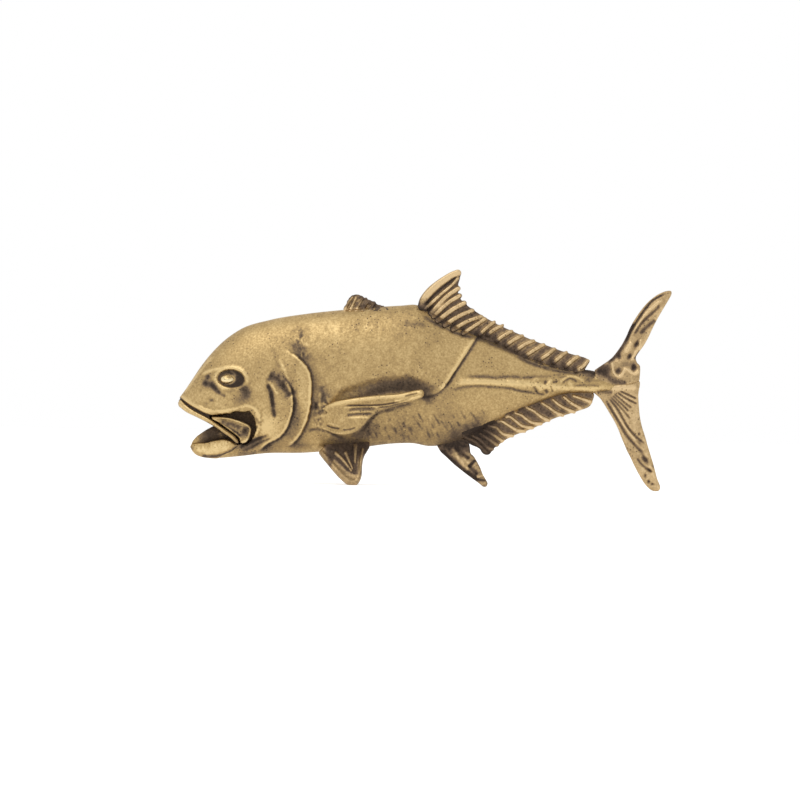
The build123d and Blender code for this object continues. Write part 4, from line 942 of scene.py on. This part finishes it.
# Tail: two curved lobes cast apart and soldered to the stalk, each with long chased lines and a few pits. A
# looped foot laps over the stalk from the upper one, and a fan of short lines opens at the root of the lower.
lobe_cell = 0.1
view = x, z = side_view((27.4, 16.2), (41.6, 34.4), lobe_cell)
upper_outline = [
    (28.4, 20.0), (29.5, 20.8), (30.5, 21.5), (31.3, 22.2), (32, 23.1), (32.8, 24.3), (33.5, 25.7),
    (34.1, 27.2), (35, 28.8), (36, 30.3), (37, 31.5), (38, 32.4), (39, 33.05), (40, 33.45), (40.8, 33.5),
    (40.95, 33), (40.6, 32.2), (39.8, 30.8), (38.9, 29.2), (38, 27.4), (37.2, 25.6), (36.5, 24.3), (35.6, 23),
    (35.2, 22.2), (35.4, 21.4), (35.9, 20.8), (35.9, 19.2), (35.6, 18.2), (33.5, 17.6), (31, 17.5),
    (28.6, 18.2),
]
foot_loop = [
    (31.2, 21.9), (31.25, 20.9), (31.5, 19.7), (32.3, 19), (32.9, 19.4), (33.4, 20.3), (34.1, 20.05),
    (34.8, 19.6), (35.4, 19.8), (35.8, 20.4),
]
upper_lines = (
    ([(33.4, 24.6), (34.05, 26.2), (35.2, 28.25), (36.6, 30.4), (38, 31.95), (40.2, 33.2)], 0.2, 0.64),
    ([(34.7, 25.8), (35.6, 27.4), (36.6, 28.6), (38, 29.9), (39.3, 31.4)], 0.26, 0.48),
    ([(35.7, 26.1), (36.6, 27.1), (38.5, 28.7)], 0.36, 0.5),
    ([(34.5, 26.2), (35.6, 28), (37, 29.9), (39.4, 32.1)], 0.2, -0.3),
    ([(30.4, 21), (31.8, 22.4), (32.5, 23.3), (33.5, 25), (34.1, 26.8), (35, 28.3)], 0.4, 0.8),
    ([(28.4, 19.9), (29.6, 19.5), (30.6, 18.9), (31.8, 18.2), (34, 17.9)], 0.55, 0.5),
    (foot_loop, 0.25, -0.65), ([(35.3, 22.8), (36.6, 25), (38.2, 28.2), (39.8, 31.2)], 0.3, -0.16),
    ([(36.2, 25.4), (35.8, 24.8), (35.8, 24), (34.9, 22.6), (34.3, 21.6)], 0.22, -0.4),
    ([(35.8, 23.6), (35, 21.9)], 0.28, 0.5), ([(34.5, 24.9), (33.4, 22.9)], 0.25, -0.3),
)
upper_pits = (
    (35.25, 24.5, 0.34, 0.75, -25, 0.72), (34.1, 22.4, 0.36, 0.62, -25, 0.7),
    (32.4, 22.3, 0.42, 0.5, 0, 0.62), (32.3, 20, 0.5, 0.6, -30, 0.6), (34.85, 20.6, 0.5, 0.65, 0, 0.95),
    (33.7, 21.1, 1.2, 0.6, 20, 0.26), (30.4, 19.9, 0.8, 1.0, -30, 0.6), (29.6, 20.4, 1.5, 0.7, 35, 0.55),
    (33.6, 23.9, 0.9, 1.1, -35, -0.12), (36.5, 26.6, 0.3, 0.4, 0, 0.2),
)
relief, stain = chased_lobe(view, upper_lines, upper_pits)
upper_depth = 0.85 - 0.035 * np.clip(z - 20, 0, 14) + relief + 0.4 * ramp(22.5, 20.5, z)
patina = 0.3 + worn(relief, 0.2) + stain
outline = patch(view, upper_outline)
fin("tail_upper_casting", "tail_upper_lobe", view, lobe_cell, upper_depth, outline, patina, 2.4, 0.45, 0.9)

view = x, z = side_view((27.4, -0.4), (40.6, 19.4), lobe_cell)
lower_outline = [
    (28.4, 16.15), (29.3, 15.4), (30, 14.5), (31, 12.9), (31.7, 11.8), (32.5, 10.3), (33, 9.1), (34, 6.8),
    (34.6, 5.7), (35.5, 3.9), (36.3, 2.5), (37, 1.4), (37.8, 0.5), (38.6, 0.05), (39.5, 0.1), (39.75, 0.8),
    (39.2, 2.2), (38.5, 4.6), (37.7, 7), (37, 9.2), (36.4, 11), (36, 13), (35.75, 16), (35.8, 18.4),
    (33, 17.9), (29, 17.6),
]
lower_lines = (
    ([(30.1, 15.4), (31.5, 13.1), (32.6, 11.4), (33.8, 9.4), (35.5, 7.5), (37.2, 5.9)], 0.25, 0.56),
    ([(30.5, 15.8), (32.3, 13.6), (33.3, 11.9), (34.3, 10.3), (35.8, 8.8), (37.3, 7.7)], 0.2, 0.5),
    ([(32.6, 16.6), (34, 16), (35.6, 15.3)], 0.17, 0.52),
    ([(32.1, 16.4), (33.8, 15.35), (35.7, 14.4)], 0.17, 0.52),
    ([(31.6, 16.2), (33.3, 14.8), (34.8, 13.7)], 0.17, 0.46),
    ([(31.3, 15.9), (32.8, 14.6), (34.3, 13.1)], 0.17, 0.46),
    ([(31, 15.7), (32.6, 14.1), (33.7, 12.9), (34.6, 11.8)], 0.17, 0.46),
    ([(31.3, 14.3), (33.1, 11.4), (35.6, 8.2)], 0.16, -0.25),
    ([(35.7, 5.6), (36.7, 4.3), (38.5, 3.1)], 0.22, 0.48),
    ([(28.7, 16.3), (29.9, 16.5), (31.5, 16.3)], 0.45, 0.45),
    ([(28.6, 17.2), (32, 17.1), (35.7, 17.3)], 0.45, -0.4),
    ([(36.9, 6.7), (37.9, 4.4), (38.9, 1.8)], 0.22, -0.15),
)
lower_pits = (
    (37.1, 5.3, 1.0, 0.52, -45, 0.78), (37.9, 3.4, 0.6, 0.4, -15, 0.4), (37.2, 2.6, 0.22, 0.4, 0, 0.5),
    (37.8, 1.6, 0.28, 0.32, 0, 0.6), (38.4, 1.2, 0.3, 0.22, 0, 0.5), (36, 9.5, 0.22, 0.34, 0, 0.45),
    (36.1, 8, 0.7, 0.4, -50, 0.35), (38.6, 4.3, 0.4, 0.5, 0, 0.3), (36.3, 5.9, 0.5, 0.25, -45, -0.25),
    (36.6, 3.4, 0.3, 0.7, -30, -0.15), (35.3, 11.9, 0.8, 2.2, 0, -0.12),
)
relief, stain = chased_lobe(view, lower_lines, lower_pits)
lower_depth = 0.62 + 0.022 * np.clip(z, 0, 16) + relief
patina = 0.26 + worn(relief, 0.2) + stain
outline = patch(view, lower_outline)
fin("tail_lower_casting", "tail_lower_lobe", view, lobe_cell, lower_depth, outline, patina, 2.0, 0.45, 0.9, 0)


# Pelvic fins: two small fins let into the belly, which lean outwards so that the fish stands on their tips.
# Bare rays fan over a dark web inside a rubbed rim.
def stretched(points):
    """Points as the side view shows them, drawn out along the leaning fin."""
    return [(a, b * stretch) for a, b in points]


pelvic_spread, root_off, root_level = 11.0, 11.2 * 0.15, 36.4 * 0.19
pelvic_lean = math.atan2(pelvic_spread / 2 - root_off, root_level)
stretch = 1 / math.cos(pelvic_lean)
pelvic_cell = 0.1
view = x, z = side_view((-18.2, -0.6), (-8.0, 9.6), pelvic_cell)
pelvic_outline = [
    (-17.3, 5.2), (-16.1, 3.8), (-14.5, 2), (-13.1, 0.7), (-12.3, 0.15), (-11.4, 0), (-10.7, 0.3),
    (-10.3, 0.9), (-10.1, 1.8), (-10.05, 3.3), (-9.8, 4.7), (-9.2, 5.8), (-8.9, 6.6), (-9.6, 7.6), (-15, 7.6),
    (-16.4, 6.2),
]
pelvic_rays = [
    ([(-14.4, 4.9), (-13.3, 3.9), (-11.8, 2.1)], 0.4, 0.2),
    ([(-12.8, 5), (-12.3, 3.9), (-11.6, 2.4)], 0.34, 0.16),
    ([(-11.2, 6.4), (-11.2, 5), (-11.2, 3.4)], 0.36, 0.2),
    ([(-10, 5.7), (-10.2, 4.2), (-10.35, 2.3)], 0.26, 0.22),
]
pelvic_foot = [
    (-15.3, 2.6), (-15.1, 3.5), (-14.6, 4), (-13.6, 3.1), (-12.6, 2.2), (-11.8, 1.7), (-10.8, 1.6),
    (-9.8, 1.6), (-9.8, -0.4), (-13, -0.4), (-15.2, 1.2),
]
outline = patch(view, stretched(pelvic_outline))
foot = ramp(0.25, -0.3, patch(view, stretched(pelvic_foot), smooth=False))
roll = rolls(view, [(stretched(ray), root_half, tip_half) for ray, root_half, tip_half in pelvic_rays])[0]
grain = sand(view, 16, 0.06, 0.08)
rim = swell(outline + 0.4, 0.4) * ramp(-9.8, -10.4, x + 0.1 * z)
rim = np.maximum(rim, swell(outline + 0.3, 0.35) * ramp(5.6 * stretch, 4.2 * stretch, z))
pelvic_depth = 0.5 + 0.26 * roll + 0.2 * rim * ramp(6.5, 5, z) + 0.4 * grain
bare = np.maximum(roll * ramp(8.4, 6.4, z), rim * ramp(7.6, 5.4, z) * (0.3 + 0.6 * ramp(-15.4, -14.4, x)))
patina = 0.82 + grain - 0.5 * np.maximum(bare, 0.9 * foot) - 0.3 * ramp(-15.5, -16.3, x + 0.2 * z - 1)
across = steps(-1.4, (1.5, pelvic_cell))
y = across[None, :, None]
pelvic = plate(across, pelvic_depth, outline, 0.35, 1)
pelvic = both(pelvic, -y * math.sin(pelvic_lean) - (z * math.cos(pelvic_lean))[:, None, :], 0.05)
casting_pair(
    "pelvic_fin_casting", "pelvic_fin", "fin_brass", fin_brass, view, across, pelvic, patina,
    spread=pelvic_spread / 2, lean=pelvic_lean,
)

# Pectoral fins: a long blade at each shoulder that grows out of the flank and stands off it. A thick spine
# runs along the top and bends back on itself at the tip, and fine rays are chased below it.
blade_cell = 0.1
view = x, z = side_view((-18.4, 7.4), (1.0, 17.2), blade_cell)
pectoral_outline = [
    (-17.9, 11.9), (-17, 12.8), (-16.2, 13.2), (-14.8, 13.8), (-12.9, 14.2), (-10.4, 14.65), (-7.6, 15),
    (-4.3, 15.3), (-2.4, 15.75), (-1, 16.05), (-0.3, 16), (-0.02, 15.5), (-0.2, 14.9), (-0.9, 14.5),
    (-2.4, 13.95), (-4.3, 13.5), (-6.1, 12.95), (-7.7, 12.1), (-8.9, 11.1), (-9.9, 9.9), (-10.9, 8.95),
    (-12.3, 8.35), (-13.4, 8.25), (-14.6, 8.4), (-16, 8.9), (-17.9, 9.6),
]
spine = [
    (-16.6, 12.9), (-14.8, 13.45), (-12.9, 13.85), (-10.4, 14.2), (-7.6, 14.6), (-4.3, 14.9), (-2, 15.35),
    (-0.7, 15.6),
]
spine_return = [(-0.45, 15.4), (-0.6, 15), (-1.4, 14.7), (-3.2, 14.25), (-5.2, 13.95)]
pectoral_lines = (
    ([(-13.4, 13.1), (-11.8, 13.2), (-9.7, 13.25), (-7.8, 13.35), (-5.8, 13.6), (-3.8, 14.1),
        (-1.9, 14.6)], 0.13, 0.5), ([(-3.3, 14.9), (-2, 15.25), (-1, 15.5)], 0.14, 0.55),
    ([(-7.8, 12.9), (-5.8, 13.2), (-3.8, 13.7), (-2.5, 14)], 0.1, 0.4),
    ([(-12.6, 12.35), (-10.7, 12.7), (-7.8, 12.75)], 0.27, 0.36),
    ([(-12.6, 12.05), (-8.3, 12.2)], 0.1, -0.24), ([(-13, 11.5), (-10.7, 11.8), (-8.4, 11.9)], 0.25, 0.36),
    ([(-12.6, 11.15), (-8.9, 11.25)], 0.12, -0.24), ([(-13.6, 12.75), (-10.5, 13), (-7, 13.1)], 0.1, -0.2),
    ([(-16.1, 9.8), (-15.2, 9.5), (-13.8, 9.3)], 0.12, 0.5),
    ([(-17, 9.4), (-16.1, 9.1), (-15.2, 8.7), (-13.2, 8.5)], 0.16, -0.18),
    ([(-16.4, 10.05), (-15.3, 10.1), (-14.1, 9.7)], 0.16, -0.16),
    ([(-13.4, 9.1), (-12.2, 9.2), (-11.2, 9.6)], 0.14, 0.4), ([(-16.7, 12.2), (-16.1, 11.8)], 0.22, 0.45),
)
pectoral_pits = ((-15, 11.2, 1.8, 1.2, 0, -0.05), (-10.2, 12.2, 2.6, 0.7, 5, 0.12))
outline = patch(view, pectoral_outline)
relief, stain = chased_lobe(view, pectoral_lines, pectoral_pits)
spine_gap, _, spine_share = trace(view, spine)
spine_wide = 0.5 - 0.1 * spine_share
relief += 0.36 * swell(spine_gap, spine_wide) * ramp(0, 0.12, spine_share)
stain -= 0.16 * swell(spine_gap, spine_wide) * ramp(0, 0.08, spine_share)
relief += stroke(view, spine_return, 0.22, -0.24)
stain += stroke(view, spine_return, 0.22, 0.2)
patina = 0.33 + worn(relief, 0.25) + stain
patina += 0.22 * ramp(-0.2, 0.0, outline) * ramp(-17, -14, x) * ramp(-0.7, 0.3, 12.6 - z)
root_x, root_out, splay = -16.4, 5.75, math.radians(4)
inner = root_out + np.tan(splay) * (x - root_x)
rooted = ramp(-12.6, -17.2, x)
flank = oval(x, z)[3]
across = steps(2.2, (8.4, blade_cell))
y = across[None, :, None]
sunk = flank - 0.12 - 0.4 * ramp(-16.6, -17.8, x)
outer_face = (inner + 0.72) * (1 - rooted) + sunk * rooted + relief
inner_face = (inner + 0.1) * (1 - rooted) + (flank - 1.6) * rooted
blade = both(y - outer_face[:, None, :], inner_face[:, None, :] - y, 0.3)
blade = both(blade, outline[:, None, :], 0.3)
casting_pair(
    "pectoral_fin_casting", "pectoral_fin", "antique_brass", body_brass, view, across, blade, patina,
)


# Floor: plain pale board under the fish, in soft daylight from a wide lamp above and to the left. Both it and
# the sky are white to the camera and to what mirrors or lets it through, and dimmer as light on the brass.
def seen_white(tree):
    """1 for rays of the camera and for those that shine back or go through, else 0."""
    path = put(tree, "LightPath")
    seen = path["Is Camera Ray"]
    for kind in ("Is Glossy Ray", "Is Transmission Ray"):
        seen = put(tree, "Math", {"operation": "MAXIMUM"}, _0=seen, _1=path[kind])["Value"]
    return seen


half_board = 1.0
corners = [(-half_board, -half_board, 0), (half_board, -half_board, 0), (half_board, half_board, 0)]
board = add("floor", bpy.data.meshes.new("floor"))
board.data.from_pydata(corners + [(-half_board, half_board, 0)], [], [(0, 1, 2, 3)])
board_paint = bpy.data.materials.new("white_board")
board_paint.use_nodes = True
tree = board_paint.node_tree
shader = tree.nodes["Principled BSDF"]
shader.inputs["Base Color"].default_value = linear("#F4F4F2")
shader.inputs["Roughness"].default_value = 0.9
board_glow, sky_strength = 0.6, 0.6
glow = put(tree, "Math", {"operation": "MULTIPLY"}, _0=seen_white(tree), _1=board_glow)["Value"]
shader.inputs["Emission Color"].default_value = linear("#FFFFFF")
tree.links.new(glow, shader.inputs["Emission Strength"])
board.data.materials.append(board_paint)

world = bpy.data.worlds.new("daylight")
world.use_nodes = True
bpy.context.scene.world = world
tree = world.node_tree
strength = put(
    tree, "MapRange", Value=seen_white(tree), From_Min=0.0, From_Max=1.0, To_Min=sky_strength, To_Max=1.0,
)["Result"]
tree.links.new(strength, tree.nodes["Background"].inputs["Strength"])
tree.nodes["Background"].inputs["Color"].default_value = linear("#FFFFFF")

lamp = add("lamp", bpy.data.lights.new("lamp", "AREA"))
lamp.data.size = 0.3
lamp.data.energy = 0.45
lamp.location = (-0.15, -0.25, 0.4)
lamp.rotation_euler = (Vector((0, 0, 0.015)) - lamp.location).to_track_quat("-Z", "Y").to_euler()
